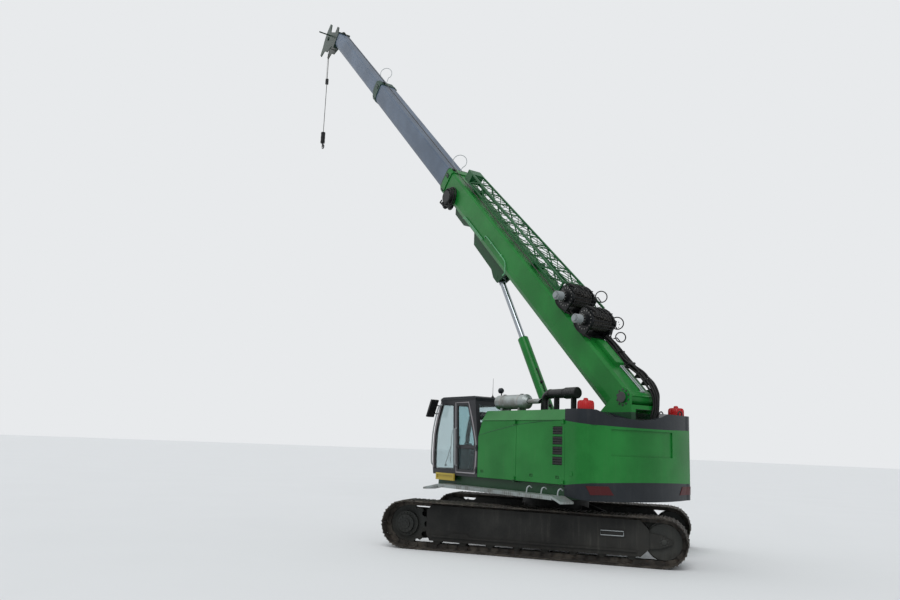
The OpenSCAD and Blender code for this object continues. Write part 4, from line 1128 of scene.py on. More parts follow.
    def build(self) -> None:
        """Makes the chain with its shoes, the bolts, the caps and the plates."""
        length = float(np.linalg.norm(np.diff(self.pins(), axis=0), axis=1).min())
        heads = turned([(-0.001, 0.011), (0.007, 0.011), (0.009, 0.008), (0.009, 0.0)], ORIGIN, UPRIGHT, 6)
        places = [(a, v, self.shoe_face) for a in (0.062, 0.142) for v in (-0.085, -0.06, 0.06, 0.085)]
        chain = joined(self.round_the_loop(joined(self.shoe(length), heads.repeated(places))),
                       self.round_the_loop(self.link(length)))
        track = self.piece("track_shoes", chain, "track_steel", Coat.TRACK, 30.0)
        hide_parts(f"{self.side.word}_track")
        drive = (self.sprocket_x, 0.0, self.sprocket_wrap)
        idler = (self.idler_x, 0.0, self.idler_wrap)
        bolts = joined(*[
            bolt_heads(ring_of(hub, ACROSS, circle, count) + [0, out, 0], ACROSS, size)
            for hub, circle, count, out, size in (
                (drive, 0.198, 20, 0.12, 0.011), (drive, 0.135, 12, 0.19, 0.010), (drive, 0.06, 6, 0.215, 0.008),
                (idler, 0.07, 8, 0.155, 0.010))])
        self.piece("wheel_bolts", bolts, "track_steel", Coat.WHEELS)
        caps = joined(
            turned([(0.15, 0.0), (0.15, 0.05), (0.166, 0.05), (0.172, 0.04), (0.172, 0.0)], idler, ACROSS, 28),
            turned([(0.21, 0.0), (0.21, 0.045), (0.222, 0.042), (0.226, 0.0)], drive, ACROSS, 28))
        self.piece("hub_caps", caps, "track_steel", Coat.WHEELS)
        self.plates()

    def plates(self) -> None:
        """The drive's backing plate, a circle's arc run on to the side frame, and the bright rim of the pocket."""
        turn = np.linspace(0.62 * math.pi, -0.62 * math.pi, 25)
        arc = np.column_stack([self.sprocket_x + 0.38 * np.cos(turn), self.sprocket_wrap + 0.33 * np.sin(turn)])
        outline = np.concatenate([[(2.1, 0.2), (2.1, 0.76)], arc])
        self.piece("drive_plate", prism(outline, -0.158, -0.142), "dark_frame_paint", Coat.FRAME)
        rim = [(-1.56, 0.505), (-1.15, 0.505), (-1.15, 0.585), (-1.56, 0.585), (-1.56, 0.505)]
        self.piece("pocket_rim", tube(on_side(rim, 0.184), 0.007, 8), "grey_paint", Coat.BRIGHT_GREY)


@dataclass
class SlewRing:
    """Bolts round the slewing ring and the hoses that leave its swivel for the track drives."""

    height: float = 1.01
    bolt_circle: float = 0.645
    count: int = 44
    bolt: float = 0.014
    hose: float = 0.014
    hose_places: tuple[float, ...] = (0.32, 0.36, 0.40, 0.44)

    def build(self) -> None:
        """Makes the ring of bolts, and four hoses that sag from the middle to each side."""
        ring = bolt_heads(ring_of((0, 0, self.height), UPRIGHT, self.bolt_circle, self.count), UPRIGHT, self.bolt)
        make("slew_ring_bolts", ring.placed(UNDER), "carbody", Coat.STEEL)
        lines = joined(*[tube(smooth_path([
            (u, 0.55, 0.815), (u + 0.02, 0.66, 0.80), (u + 0.03, 0.72, 0.76), (u + 0.03, 0.74, 0.73)], 16),
            self.hose, 8) for u in self.hose_places])
        make("swivel_hoses", both_sides(lines).placed(UNDER), "carbody", Coat.RUBBER)


# ---- upper machine ----
@dataclass
class Deckhouse:
    """Fittings of the housings and the counterweight: tail bands, red covers, painted shade along the door creases and
    in the vents, grit pads, pins and straps."""

    roof: float = 2.745
    side: float = 1.495
    covers: tuple[tuple[float, float], ...] = ((-2.19, 1.27), (-2.19, -1.21))
    cover_ribs: int = 20
    rib: float = 0.006
    vents: tuple[float, ...] = (1.72, 1.905, 2.09, 2.275)
    vent_x: tuple[float, float] = (-1.817, -1.553)
    slats: tuple[float, ...] = (0.012, 0.058, 0.104)
    latch_height: float = 1.5
    # Radius of the darker green bar that paints the shade of the door crease.
    crease: float = 0.007
    pivot: Point = BOOM.origin
    muffler: tuple[float, float] = (1.13, 2.935)
    muffler_straps: tuple[float, float] = (-0.19, 0.37)
    tail: float = -2.61
    tail_radius: float = 4.2
    corner: float = 0.3
    seam: float = -1.885
    slot: tuple[float, float] = (-2.48, 0.4)
    knee: float = -2.2
    dip: tuple[tuple[float, ...], tuple[float, ...]] = (
        (-1.5, -0.5, -0.35, -0.1, 0.25, 0.6, 0.95, 1.22, 1.5),
        (2.745, 2.742, 2.69, 2.62, 2.587, 2.606, 2.628, 2.735, 2.745))

    def tail_edge(self, y: Array, out: float = 0.0) -> Array:
        """The tail's rear face in plan: x is the wide arc's middle less the root of its radius squared less y
        squared, and the same round each corner's own middle.

        Args:
            y: places across the machine.
            out: how far the face is moved outwards.
        Returns:
            x for each y.
        """
        y, inner = np.abs(y), self.side - self.corner
        centre = self.tail + self.tail_radius
        wide = centre - np.sqrt((self.tail_radius + out) ** 2 - np.minimum(y, inner) ** 2)
        middle = centre - math.sqrt(self.tail_radius**2 - inner**2) + self.corner
        bend = middle - np.sqrt(np.maximum((self.corner + out) ** 2 - (y - inner) ** 2, 0.0))
        return np.where(y <= inner, wide, bend)

    def slanted(self, x: Array, ends: tuple[float, float]) -> Array:
        """Heights that run straight from the first end at the seam to the second at the rear."""
        return ends[1] + (ends[0] - ends[1]) * (x - self.tail) / (self.seam - self.tail)

    def band(self, low: tuple[float, float], high: tuple[float, float] | None) -> Surface:
        """A band round the tail, as cross sections from its right side to its left.

        Args:
            low: heights of its underside at the seam and at the rear; between them it runs straight.
            high: the same for its top, or none for the top that dips between the covers and ramps up to the roof.
        Returns:
            the closed band, with the slot for the boom's foot.
        """
        bend = self.side - self.corner * (1 - np.sin(np.linspace(0, math.pi / 2, 13)))
        half = np.concatenate([np.linspace(0, self.slot[1], 13),
                               np.linspace(self.slot[1] + 0.002, bend[0], 24)[:-1], bend])
        y = np.concatenate([-half[:0:-1], half])
        within = np.abs(y) <= self.slot[1]
        rear, front = self.tail_edge(y), np.where(within, self.slot[0], self.seam)
        knee = np.maximum(np.where(within, self.slot[0] - 0.02, self.knee), rear + 0.002)
        if high:
            tops = [self.slanted(x, high) for x in (front, knee, rear)]
        else:
            dipped = np.interp(y, *self.dip)
            tops = [np.where(within, dipped, self.roof), dipped, dipped]
        x = np.stack([rear, front, front, knee, rear], 1)
        z = np.stack([self.slanted(rear, low), self.slanted(front, low), *tops], 1)
        return grid(np.stack([x, np.broadcast_to(y[:, None], x.shape), z], -1))

    def tail_parts(self) -> None:
        """The dark bands, the red covers, and the red plates that follow the rear corners at a slant."""
        shells = joined(self.band((1.18, 1.11), (1.375, 1.46)), self.band((2.53, 2.44), None))
        bands = make("tail_band_shells", shells, "upper", Coat.ANTHRACITE)
        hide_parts("tail_bands")
        cover = turned([(0, 0), (0, 0.15), (0.07, 0.15), (0.12, 0.146), (0.15, 0.125), (0.158, 0.05), (0.195, 0.042),
                        (0.205, 0.025), (0.205, 0)], (0, 0, self.roof), UPRIGHT)
        low, high, inside, outside = np.linspace(0.89, 1.348, 28), np.linspace(1.0, 1.414, 28), -0.002, 0.009
        edges = [np.stack([self.tail_edge(y, out), y, np.full(len(y), z)], -1) for y, z, out in (
            (low, 1.232, inside), (low, 1.232, outside), (high, 1.385, outside), (high, 1.385, inside))]
        parts = joined(cover.repeated([(x, y, 0) for x, y in self.covers]), both_sides(grid(np.stack(edges, 1))))
        red = make("covers_and_reflectors", parts, "upper", Coat.RED)
        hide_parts("marker_covers")

    def creases(self) -> None:
        """Painted shade of the pressed line along the doors, drawn as a thin bar of darker green from the cab's end up
        to the vents.
        """
        for hand in Side:
            for door, line in (("front_door", [(0.76, 2.232), (0.45, 2.299), (0.048, 2.367), (-0.465, 2.45)]),
                               ("rear_door", [(-0.495, 2.453), (-1.04, 2.505), (-1.415, 2.522), (-1.54, 2.524)])):
                bar = tube(smooth_path(on_side(line, self.side - 0.003), 24), self.crease, 8)
                make(f"{hand.word}_{door}_crease", hand.of(bar), f"{hand.word}_{door}", Coat.JIB)

    def roof_pads(self) -> None:
        """Grit pads and a hatch on the roofs, as low rounded plates."""
        pads = [block((x0, y0, self.roof - 0.001), (x1, y1, self.roof + 0.004), 0.002) for x0, y0, x1, y1 in (
            (-1.80, 0.80, -1.00, 1.30), (-1.80, -1.30, -1.00, -0.55), (-0.92, -1.30, -0.12, -0.55),
            (-0.04, -1.30, 0.56, -0.55))]
        make("roof_grit_pads", joined(*pads), "upper", Coat.RUBBER)
        hatch = block((-2.36, -0.98, self.roof - 0.004), (-1.98, -0.52, self.roof + 0.012), 0.006)
        make("counterweight_hatch", hatch, "upper", Coat.ANTHRACITE)
        loop = [(-0.05, -0.01), (-0.05, 0.05), (0.0, 0.085), (0.05, 0.05), (0.05, -0.01)]
        eyes = [tube(smooth_path([(x, -1.05 + across, self.roof + up) for across, up in loop], 24), 0.013, 10)
                for x in (-2.42, -1.95)]
        make("lifting_loops", joined(*eyes), "upper", Coat.ANTHRACITE)

    def cover_detail(self) -> None:
        """Ribs over the shoulders of the red covers: one bar up the slope, turned about each cover's axis."""
        turn = np.linspace(0, 2 * math.pi, self.cover_ribs, endpoint=False)
        slope = smooth_path([(0.149, 0, 0.006), (0.149, 0, 0.07), (0.145, 0, 0.12), (0.122, 0, 0.15),
                             (0.058, 0, 0.157)], 14)
        bar = tube(slope, self.rib, 6)
        c, s = np.cos(turn)[:, None], np.sin(turn)[:, None]
        x, y, z = bar.points.T
        ribs = bar.copied(np.stack([c * x - s * y, s * x + c * y, np.broadcast_to(z, (len(turn), len(z)))], -1))
        make("red_cover_ribs", ribs.repeated([(cx, cy, self.roof) for cx, cy in self.covers]), "upper",
             Coat.RED)

    def side_detail(self) -> None:
        """Painted shade of the vents, made of black sheets behind the louvres and black slats over them; and bezels
        round the door latches.
        """
        x0, x1 = self.vent_x
        # Painted shade: a black sheet behind each vent and a black slat over each louvre, so that the vents read as
        # dark openings.
        vent_shade = joined(*[block((x0, self.side - 0.0295, z + 0.001), (x1, self.side - 0.027, z + 0.149), 0.001, 1)
                         for z in self.vents],
                       *[block((x0, self.side - 0.004, z + a), (x1, self.side + 0.003, z + a + 0.034), 0.003, 1)
                         for z in self.vents for a in self.slats])
        latches = joined(self.bezel(-1.69), self.bezel(-0.95))
        for hand in Side:
            for name, door, part in (("vent_mesh", "rear_door", vent_shade), ("rear_latches", "rear_door", latches),
                                     ("front_latch", "front_door", self.bezel(0.62))):
                make(f"{hand.word}_{name}", hand.of(part), f"{hand.word}_{door}", Coat.BLACK)

    def bezel(self, x: float) -> Surface:
        """A frame let into the latch's pocket: one bar along its four edges, short of their ends, so that the
        corners are cut.

        Args:
            x: the latch's middle.
        Returns:
            the frame on the left side.
        """
        corners = np.array([(-1, -1), (1, -1), (1, 1), (-1, 1), (-1, -1)]) * (0.041, 0.021) + (x, self.latch_height)
        share = np.array([0.1, 0.9])[None, :, None]
        knots = ((1 - share) * corners[:-1, None] + share * corners[1:, None]).reshape(-1, 2)
        return tube(on_side(np.concatenate([knots, knots[:1]]), self.side - 0.002), 0.003, 6)

    def boom_foot(self) -> None:
        """Caps and bolts on the boom's pivot, and the edge of the opening in the rear plate."""
        x, _, z = self.pivot
        cap = turned([(0.398, 0.0), (0.398, 0.095), (0.408, 0.105), (0.42, 0.1), (0.424, 0.0)], (x, 0, z), ACROSS)
        bolts = bolt_heads(ring_of((x, 0.371, z), ACROSS, 0.15, 10), ACROSS, 0.012)
        make("boom_foot_caps", both_sides(joined(cap, bolts)), "upper", Coat.CAST)
        half, low, high = 0.245, 2.615, 2.795
        edge = [(-2.466, y, h) for y, h in ((-half, low), (half, low), (half, high), (-half, high), (-half, low))]
        make("rear_opening_edge", tube(edge, 0.007, 8), "upper", Coat.RUBBER)

    def exhaust(self) -> None:
        """Straps with their screws round the muffler and the air pipe."""
        straps = [hoop(0.02, 0.149, 0.1535, (x, *self.muffler), AHEAD) for x in self.muffler_straps]
        straps += [block((x - 0.022, 1.10, 3.082), (x + 0.022, 1.16, 3.1), 0.004) for x in self.muffler_straps]
        straps += [hoop(0.018, 0.049, 0.054, (-0.47, *self.muffler), AHEAD)]
        make("muffler_straps", joined(*straps), "upper", Coat.STEEL)
        clamps = [hoop(0.012, 0.094, 0.1, (x, 0.62, 3.12), AHEAD) for x in (-0.92, -0.5)]
        make("air_pipe_clamps", joined(*clamps), "upper", Coat.RUBBER)

    def tie_loops(self) -> None:
        """Bent bars that hold the walkway to the deck."""
        loops = [tube(smooth_path([
            (x, 1.49, 1.27), (x, 1.545, 1.30), (x + 0.01, 1.59, 1.265), (x + 0.02, 1.6, 1.17)], 20), 0.012, 10)
            for x in (-1.84, -1.39, -0.97)]
        make("walkway_tie_loops", joined(*loops), "upper", Coat.BRIGHT_GREY)

    def build(self) -> None:
        """Makes all the fittings."""
        self.tail_parts()
        self.creases()
        self.roof_pads()
        self.cover_detail()
        self.side_detail()
        self.boom_foot()
        self.exhaust()
        self.tie_loops()


# ---- cab ----
@dataclass
class Cab:
    """Glass seals, trim strips, hand rails, roof fittings, wiper and the operator's place."""

    left: float = 1.495
    roof: float = 3.068
    door: tuple[tuple[float, float], ...] = (
        (0.862, 1.415), (1.58, 1.415), (1.608, 1.9), (1.678, 2.958), (1.15, 2.958), (1.075, 2.76), (0.99, 2.55),
        (0.9, 2.29), (0.842, 2.09), (0.826, 1.98), (0.826, 1.8), (0.838, 1.6))
    window: tuple[tuple[float, float], ...] = (
        (1.662, 1.48), (2.42, 1.48), (2.442, 1.772), (2.426, 2.21), (2.335, 2.58), (2.205, 2.895), (1.752, 2.895),
        (1.688, 1.9))
    front: tuple[tuple[float, float], ...] = (
        (2.468, 1.5), (2.48, 1.6), (2.49, 1.772), (2.486, 2.0), (2.474, 2.22), (2.434, 2.42), (2.378, 2.6),
        (2.304, 2.79), (2.235, 2.93))
    frame_w: float = 0.085
    rail_top: float = 2.015
    pane_x: float = 2.508
    seat_y: float = 1.02

    def inset(self, outline: Array, by: float) -> Array:
        """Moves each side of an outline inwards and meets the neighbours again at its corners.

        Args:
            outline: (n, 2) corners, turning left.
            by: distance inwards.
        Returns:
            (n, 2) corners.
        """
        p = np.asarray(outline, float)
        into = np.roll(p, 1, axis=0)
        a, b = p - into, np.roll(p, -1, axis=0) - p
        a, b = (v / np.linalg.norm(v, axis=1, keepdims=True) for v in (a, b))
        a, b = (np.column_stack([-v[:, 1], v[:, 0]]) for v in (a, b))
        return p + by * (a + b) / (1 + (a * b).sum(axis=1, keepdims=True))

    def seal(self, outline: Array, y: float, radius: float) -> Surface:
        """A rubber bar round a pane: the outline, closed, in the plane of the glass at y."""
        return tube(on_side(np.concatenate([outline, outline[:1]]), y), radius, 8)

    def seals(self) -> None:
        """Seals round the panes of the door and of the side windows."""
        pane = self.inset(self.door, self.frame_w)
        front = float(np.interp(self.rail_top, [1.9, 2.958], [1.523, 1.592]))
        upper = np.concatenate([[(0.914, self.rail_top), (front, self.rail_top)], pane[pane[:, 1] > self.rail_top]])
        lower = np.array([(0.925, 1.503), (1.499, 1.503), (1.52, 1.945), (0.912, 1.945)])
        panes = joined(*[self.seal(outline, self.left - 0.019, 0.007) for outline in (upper, lower)])
        make("door_glass_seals", panes, "cab_door", Coat.RUBBER)
        side = self.seal(self.inset(self.window, 0.004), self.left - 0.012, 0.008)
        make("side_window_seal", side, "upper", Coat.RUBBER)

    def trims(self) -> None:
        """Light grey strips: round the door, and down the front edge of the cab's side."""
        loop = self.seal(self.inset(self.door, 0.022), self.left - 0.006, 0.019)
        make("door_edge_trim", loop, "cab_door", Coat.CAB_TRIM)
        edge = smooth_path(on_side(np.array(self.front) - [0.022, 0.0], self.left - 0.004), 60)
        make("front_edge_trim", tube(edge, 0.02, 10), "upper", Coat.CAB_TRIM)

    def rails(self) -> None:
        """Hand rails of bent tube: on the door's front edge and down the front pillar."""
        y = self.left
        door = smooth_path([(1.545, y - 0.004, 1.58), (1.545, y + 0.045, 1.6), (1.552, y + 0.05, 1.75),
                            (1.572, y + 0.05, 2.1), (1.585, y + 0.05, 2.3), (1.59, y + 0.045, 2.36),
                            (1.592, y - 0.004, 2.38)], 40)
        make("door_hand_rail", tube(door, 0.014, 12), "cab_door", Coat.BRIGHT_GREY)
        f = self.front
        rail = smooth_path([(f[1][0] - 0.02, y - 0.004, 1.56), (f[1][0] - 0.015, y + 0.05, 1.6)]
                           + [(px - 0.012, y + 0.055, pz) for px, pz in f[2:8]]
                           + [(f[8][0] - 0.01, y + 0.05, 2.88), (f[8][0] - 0.03, y - 0.004, 2.9)], 64)
        make("front_hand_rail", tube(rail, 0.015, 12), "upper", Coat.BRIGHT_GREY)

    def roof_fittings(self) -> None:
        """Aerial, lamp glass, and the gutter round the roof cap."""
        aerial = joined(
            turned([(0, 0), (0, 0.03), (0.012, 0.028), (0.035, 0.012), (0.06, 0.006), (0.06, 0)],
                   (0.97, 1.0, self.roof), UPRIGHT, 20),
            tube([(0.97, 1.0, self.roof + 0.03), (0.968, 1.0, self.roof + 0.2), (0.962, 1.0, self.roof + 0.41)],
                 np.array([0.005, 0.004, 0.003]), 8))
        make("aerial", aerial, "upper", Coat.BLACK)
        lens = turned([(0.0, 0.0), (0.0, 0.053), (0.004, 0.05), (0.009, 0.03), (0.011, 0.0)], (1.155, 0.64, 3.243),
                      AHEAD, 28)
        make("work_lamp_glass", lens, "upper", Coat.LENS)
        y0, y1, z = 0.507, 1.496, 3.012
        rim = [(0.918, y0, z), (2.256, y0, z), (2.256, y1, z), (0.918, y1, z), (0.918, y0, z)]
        make("roof_gutter", tube(rim, 0.009, 8), "upper", Coat.RUBBER)

    def wiper(self) -> None:
        """Arm and blade of the windscreen wiper, lying along the pane's curve."""
        x, z = np.array(self.front).T
        at = np.linspace(1.62, 2.35, 16)
        blade = np.column_stack([np.interp(at, z, x + 0.012) + 0.006, np.ones(len(at)), at])
        arm = smooth_path([(2.492, 1.14, 1.56), (2.512, 1.12, 1.62), (2.518, 1.06, 1.8), (2.512, 1.005, 1.98)], 20)
        whole = joined(tube(blade, 0.006, 8), tube(arm, 0.007, 8),
                       turned([(0, 0), (0, 0.02), (0.03, 0.02), (0.034, 0)], (2.475, 1.14, 1.555), AHEAD, 16))
        inside = Surface(np.minimum(whole.points, [self.pane_x, np.inf, np.inf]), whole.faces)
        make("windscreen_wiper", inside, "upper", Coat.BLACK)

    def cushion(self, centre: Point, half: Point, crown: float, seams: tuple[float, ...], lean: float) -> Surface:
        """A stuffed pad: on each axis the sine or cosine is raised to a power of 0.4, so that the form is a full
        box with soft edges; the sides draw in towards the middle, the broad face rises in a dome, and sewn
        channels press into it at the seams.

        Args:
            centre: middle of the pad.
            half: half its depth, its width and its thickness.
            crown: share of the thickness that the dome adds.
            seams: places of the channels across the pad, from -1 to 1.
            lean: turn about the width, in radians.
        Returns:
            the closed pad.
        """
        u = np.linspace(0, 2 * math.pi, 96, endpoint=False)[None, :]
        v = np.linspace(-math.pi / 2, math.pi / 2, 49)[:, None]
        power, edge, channel, depth = 0.4, 0.6, 0.035, 0.22
        cu, su, cv, sv = (np.sign(f) * np.abs(f) ** power for f in (np.cos(u), np.sin(u), np.cos(v), np.sin(v)))
        x, y, z = cv * cu, cv * su, sv + 0 * u
        draw = 1 - 0.05 * (1 - np.abs(y) ** 3) * (np.abs(x) > edge) - 0.04 * (1 - np.abs(x) ** 3) * (np.abs(y) > edge)
        dome = 1 + crown * (1 - x**2) * (1 - y**2)
        press = sum(np.exp(-((y - s) / channel) ** 2) for s in seams) * depth * (np.abs(z) > 0.3)
        p = np.stack([x * half[0] * draw, y * half[1] * draw, z * half[2] * (dome - press)], -1)
        c, s = math.cos(lean), math.sin(lean)
        leant = np.stack([c * p[..., 0] - s * p[..., 2], p[..., 1], s * p[..., 0] + c * p[..., 2]], -1)
        return grid(leant + np.array(centre))

    def operator_place(self) -> None:
        """Seat, consoles, levers, display and pedals, in the room that the CAD's own solid holds."""
        for name, x, z, half, crown, seams, lean in (
                ("cushion", 1.58, 1.862, (0.25, 0.228, 0.05), 0.18, (-0.5, 0.5), 0.0),
                ("backrest", 1.26, 2.21, (0.335, 0.218, 0.05), 0.18, (-0.5, 0.5), 93.5),
                ("headrest", 1.243, 2.66, (0.095, 0.135, 0.036), 0.12, (), 91)):
            form = self.cushion((x, self.seat_y, z), half, crown, seams, math.radians(lean))
            pad = make(f"seat_{name}", form, "upper", Coat.SEAT)
        parts = [block((1.45, 0.9, 1.417), (1.7, 1.14, 1.52), 0.012),
                 block((1.36, 0.82, 1.785), (1.80, 1.22, 1.812), 0.01)]
        folds = [(1.515 + 0.27 * k / 24, 0.125 + 0.012 * math.cos(math.pi * k)) for k in range(25)]
        parts.append(turned([(1.515, 0.0), *folds, (1.785, 0.0)], (1.575, self.seat_y, 0), UPRIGHT, 28))
        lever = [(1.985, 0.0), (1.985, 0.04), (2.01, 0.034), (2.03, 0.026), (2.05, 0.02), (2.06, 0.014), (2.14, 0.012),
                 (2.155, 0.02), (2.175, 0.027), (2.2, 0.026), (2.216, 0.014), (2.219, 0.0)]
        for y in (0.68, 1.29):
            parts.append(block((1.36, y - 0.045, 1.417), (1.85, y + 0.045, 1.99), 0.02))
            parts.append(block((1.38, y - 0.04, 1.988), (1.66, y + 0.04, 2.03), 0.018))
            parts.append(turned(lever, (1.78, y, 0), UPRIGHT, 20))
        parts.append(tube([(2.17, 0.72, 1.417), (2.17, 0.72, 1.7), (2.172, 0.73, 1.9)], 0.02, 12))
        parts.append(block((2.162, 0.645, 1.9), (2.194, 0.855, 2.068), 0.01))
        pedals = (0.9, 1.03)
        parts += [block((2.1, y - 0.04, 1.418), (2.31, y + 0.04, 1.44), 0.008) for y in pedals]
        parts += [prism([(2.1, 1.435), (2.32, 1.5), (2.312, 1.51), (2.095, 1.445)], y - 0.036, y + 0.036)
                  for y in pedals]
        station = make("operator_fittings", joined(*parts), "upper", Coat.BLACK)
        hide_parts("operator_station")

    def build(self) -> None:
        """Makes all of the cab's fittings."""
        self.seals()
        self.trims()
        self.rails()
        self.roof_fittings()
        self.wiper()
        self.operator_place()


# ---- boom ----
RING_WAY = np.array([-0.682, -0.731, 0.0])


def standing_arc(centre: Array, radius: float, first: float, last: float, count: int) -> Array:
    """An arc in the upright plane in which the hose and cable rings stand: cosine along it, sine upwards.

    Args:
        centre: its middle.
        radius: of the arc.
        first, last: its angles, in radians, from that plane's level direction upwards.
        count: how many points.
    Returns:
        (count, 3) points.
    """
    turn = np.linspace(first, last, count)[:, None]
    return centre + radius * (np.cos(turn) * RING_WAY + np.sin(turn) * np.array(UPRIGHT))


@dataclass
class BoomFittings:
    """Lacing, pad covers, pipes, hoses and cable loops of the telescopic boom, in its own frame of place along it,
    side, and height over the pivot line."""

    base_head: float = 8.97
    mid_head: float = 15.15
    jib_heights: tuple[float, float] = (0.265, 0.495)
    jib_left: tuple[tuple[float, float], ...] = ((3.15, 0.15), (8.06, 0.15))
    jib_right: tuple[tuple[float, float], ...] = ((2.34, -0.48), (8.06, -0.165))
    lace: float = 0.009

    def jib_lacing(self) -> None:
        """Thin diagonals that cross the CAD's own on the stowed jib's four sides: each runs on from the last, from
        one chord to the other."""
        left, right = ([np.insert(np.array(side), 2, z, axis=1) for z in self.jib_heights]
                       for side in (self.jib_left, self.jib_right))
        bars = []
        for a, b, count in ((left[0], left[1], 20), (right[1], right[0], 24), (left[1], right[1], 22),
                            (right[0], left[0], 22)):
            share = np.linspace(0.01, 0.99, count + 1)[:, None]
            knots = np.where((np.arange(count + 1) % 2 == 0)[:, None], *[c[0] + share * (c[1] - c[0]) for c in (a, b)])
            bars += [tube(knots[i:i + 2], self.lace, 6) for i in range(count)]
        make("jib_lacing", joined(*bars).placed(BOOM), "boom_base", Coat.JIB)

    def pad_covers(self) -> None:
        """Bolted plates over the guide pads, on both sides of each collar."""
        for name, slot, head, faces in (
                ("base", "green_paint", self.base_head, ((0.30, -0.42), (0.33, -0.02))),
                ("mid", "boom_grey_paint", self.mid_head, ((0.254, -0.38), (0.284, -0.04)))):
            t = head - 0.11
            parts = []
            for y, d in faces:
                parts.append(block((t - 0.07, y - 0.012, d - 0.055), (t + 0.07, y + 0.010, d + 0.055), 0.005))
                corners = [(t + a, y + 0.010, d + b) for a in (-0.05, 0.05) for b in (-0.038, 0.038)]
                parts.append(bolt_heads(np.array(corners), ACROSS, 0.009))
            make(f"{name}_pad_covers", both_sides(joined(*parts)).placed(BOOM), f"boom_{name}", Coat.HEAD)

    def pipes(self) -> None:
        """The bent pipe and its clips on the left side, and the pipes up the belly to the rod eye."""
        bend = smooth_path([(6.15, 0.312, -0.30), (6.1, 0.32, -0.24), (5.6, 0.32, -0.24), (5.1, 0.32, -0.25),
                            (4.98, 0.322, -0.29), (4.9, 0.322, -0.37), (4.83, 0.32, -0.46), (4.86, 0.314, -0.55)], 70)
        clips = [block((t - 0.02, 0.298, -0.268), (t + 0.02, 0.338, -0.214), 0.004) for t in (5.25, 5.8)]
        long_run = [tube(smooth_path([(7.35, 0.312, -0.47 + k), (7.25, 0.318, -0.42 + k), (6.8, 0.318, -0.41 + k),
                                      (6.2, 0.318, -0.41 + k)], 30), 0.01, 8) for k in (0.0, 0.035)]
        make("left_side_pipes", joined(tube(bend, 0.014, 10), *clips, *long_run).placed(BOOM), "boom_base",
             Coat.PIPES)

    def stays(self) -> None:
        """Two thin light bars along the top of the foot, with their end plates."""
        bars = [tube([(0.78, y, 0.165), (0.02, y, 0.175)], 0.012, 8) for y in (-0.1, -0.04)]
        ends = [block((t - 0.02, -0.12, 0.137), (t + 0.02, -0.02, 0.18), 0.004) for t in (0.03, 0.77)]
        make("foot_stay_bars", joined(*bars, *ends).placed(BOOM), "boom_base", Coat.BRIGHT_GREY)

    def hose_bundle(self) -> None:
        """Hoses from the winches back along the boom and over its foot down into the machine: one run of knots,
        moved by each hose's offset, plus a sine sideways and a cosine upwards with its own phase."""
        offsets = np.array([(0.0, 0.0), (0.045, 0.005), (0.09, 0.0), (0.02, 0.045), (0.068, 0.05), (-0.04, 0.01),
                            (-0.03, 0.055), (0.04, 0.085)])
        knots = np.array([(1.62, -0.26, 0.21), (1.35, -0.27, 0.20), (1.1, -0.26, 0.19), (0.85, -0.25, 0.195),
                          (0.6, -0.25, 0.235), (0.35, -0.25, 0.26), (0.1, -0.25, 0.26), (-0.12, -0.26, 0.22),
                          (-0.26, -0.27, 0.1), (-0.35, -0.28, -0.04), (-0.43, -0.29, -0.18)])
        wave = np.arange(len(knots))
        last_clamp = 7
        hump = np.clip(np.minimum(wave, last_clamp - wave), 0, 1)
        parts = []
        for n, (dy, dd) in enumerate(offsets):
            sway = np.column_stack([0 * wave, 0.016 * np.sin(wave * 1.7 + n * 2.1),
                                    (0.01 + 0.02 * hump) * (1 + np.cos(wave * 1.9 + n * 1.3)) / 2])
            parts.append(tube(smooth_path(knots + [0, dy, dd] + sway, 72), 0.017 if n % 2 else 0.021, 10))
        blended("boom_foot_hoses", joined(*parts).placed(BOOM),
                (BOOM.out([0.12, -0.3, 0.27]), BOOM.out([-0.43, -0.3, -0.17])), Coat.RUBBER)
        clamps = [block((t - 0.018, -0.335, d - 0.035), (t + 0.018, -0.14, d + 0.12), 0.012)
                  for t, d in ((1.12, 0.175), (0.74, 0.19), (0.42, 0.215), (0.2, 0.22))]
        make("hose_clamps", joined(*clamps).placed(BOOM), "boom_base", Coat.BLACK)

    def head_hoses(self) -> None:
        """The hose reel, its hanger, and loose loops under the base section's head: cosine along the boom, sine in
        height, and a slight weave sideways."""
        turn = np.linspace(-0.4, 2 * math.pi - 0.4, 56)
        loops = [tube(np.column_stack([8.28 + 0.03 * math.sin(2.3 * n) + (0.235 - 0.014 * n) * np.cos(turn),
                                       0.328 + 0.029 * n + 0.008 * np.sin(3 * turn + n),
                                       -0.37 + 0.02 * math.cos(1.7 * n) + (0.25 - 0.016 * n) * np.sin(turn)]),
                      0.0175, 10) for n in range(5)]
        loops += [tube(smooth_path([(8.3 + 0.05 * n, 0.33 + 0.03 * n, -0.58), (8.38 + 0.05 * n, 0.32 + 0.02 * n, -0.70),
                                    (8.5 + 0.04 * n, 0.24, -0.79 + 0.02 * n), (8.62 + 0.03 * n, 0.15, -0.70),
                                    (8.68 + 0.03 * n, 0.12, -0.57)], 40), 0.018, 10) for n in range(4)]
        make("head_hose_loops", joined(*loops).placed(BOOM), "boom_base", Coat.RUBBER)
        hub = joined(block((8.16, 0.303, -0.5), (8.4, 0.34, -0.24), 0.01),
                     turned([(0.3, 0.0), (0.3, 0.11), (0.45, 0.11), (0.455, 0.16), (0.466, 0.16), (0.466, 0.0)],
                            (8.28, 0.0, -0.37), ACROSS, 28))
        make("hose_hanger", hub.placed(BOOM), "boom_base", Coat.BLACK)
        middle = (8.52, 0.0, -0.66)
        reel = joined(turned([(0.05, 0.0), (0.05, 0.17), (0.062, 0.17), (0.066, 0.12), (0.2, 0.12), (0.204, 0.17),
                              (0.216, 0.17), (0.216, 0.0)], middle, ACROSS, 40),
                      turned([(0.0, 0.0), (0.0, 0.05), (0.24, 0.05), (0.245, 0.0)], middle, ACROSS, 20))
        make("hose_reel", reel.placed(BOOM), "boom_base", Coat.BLACK)

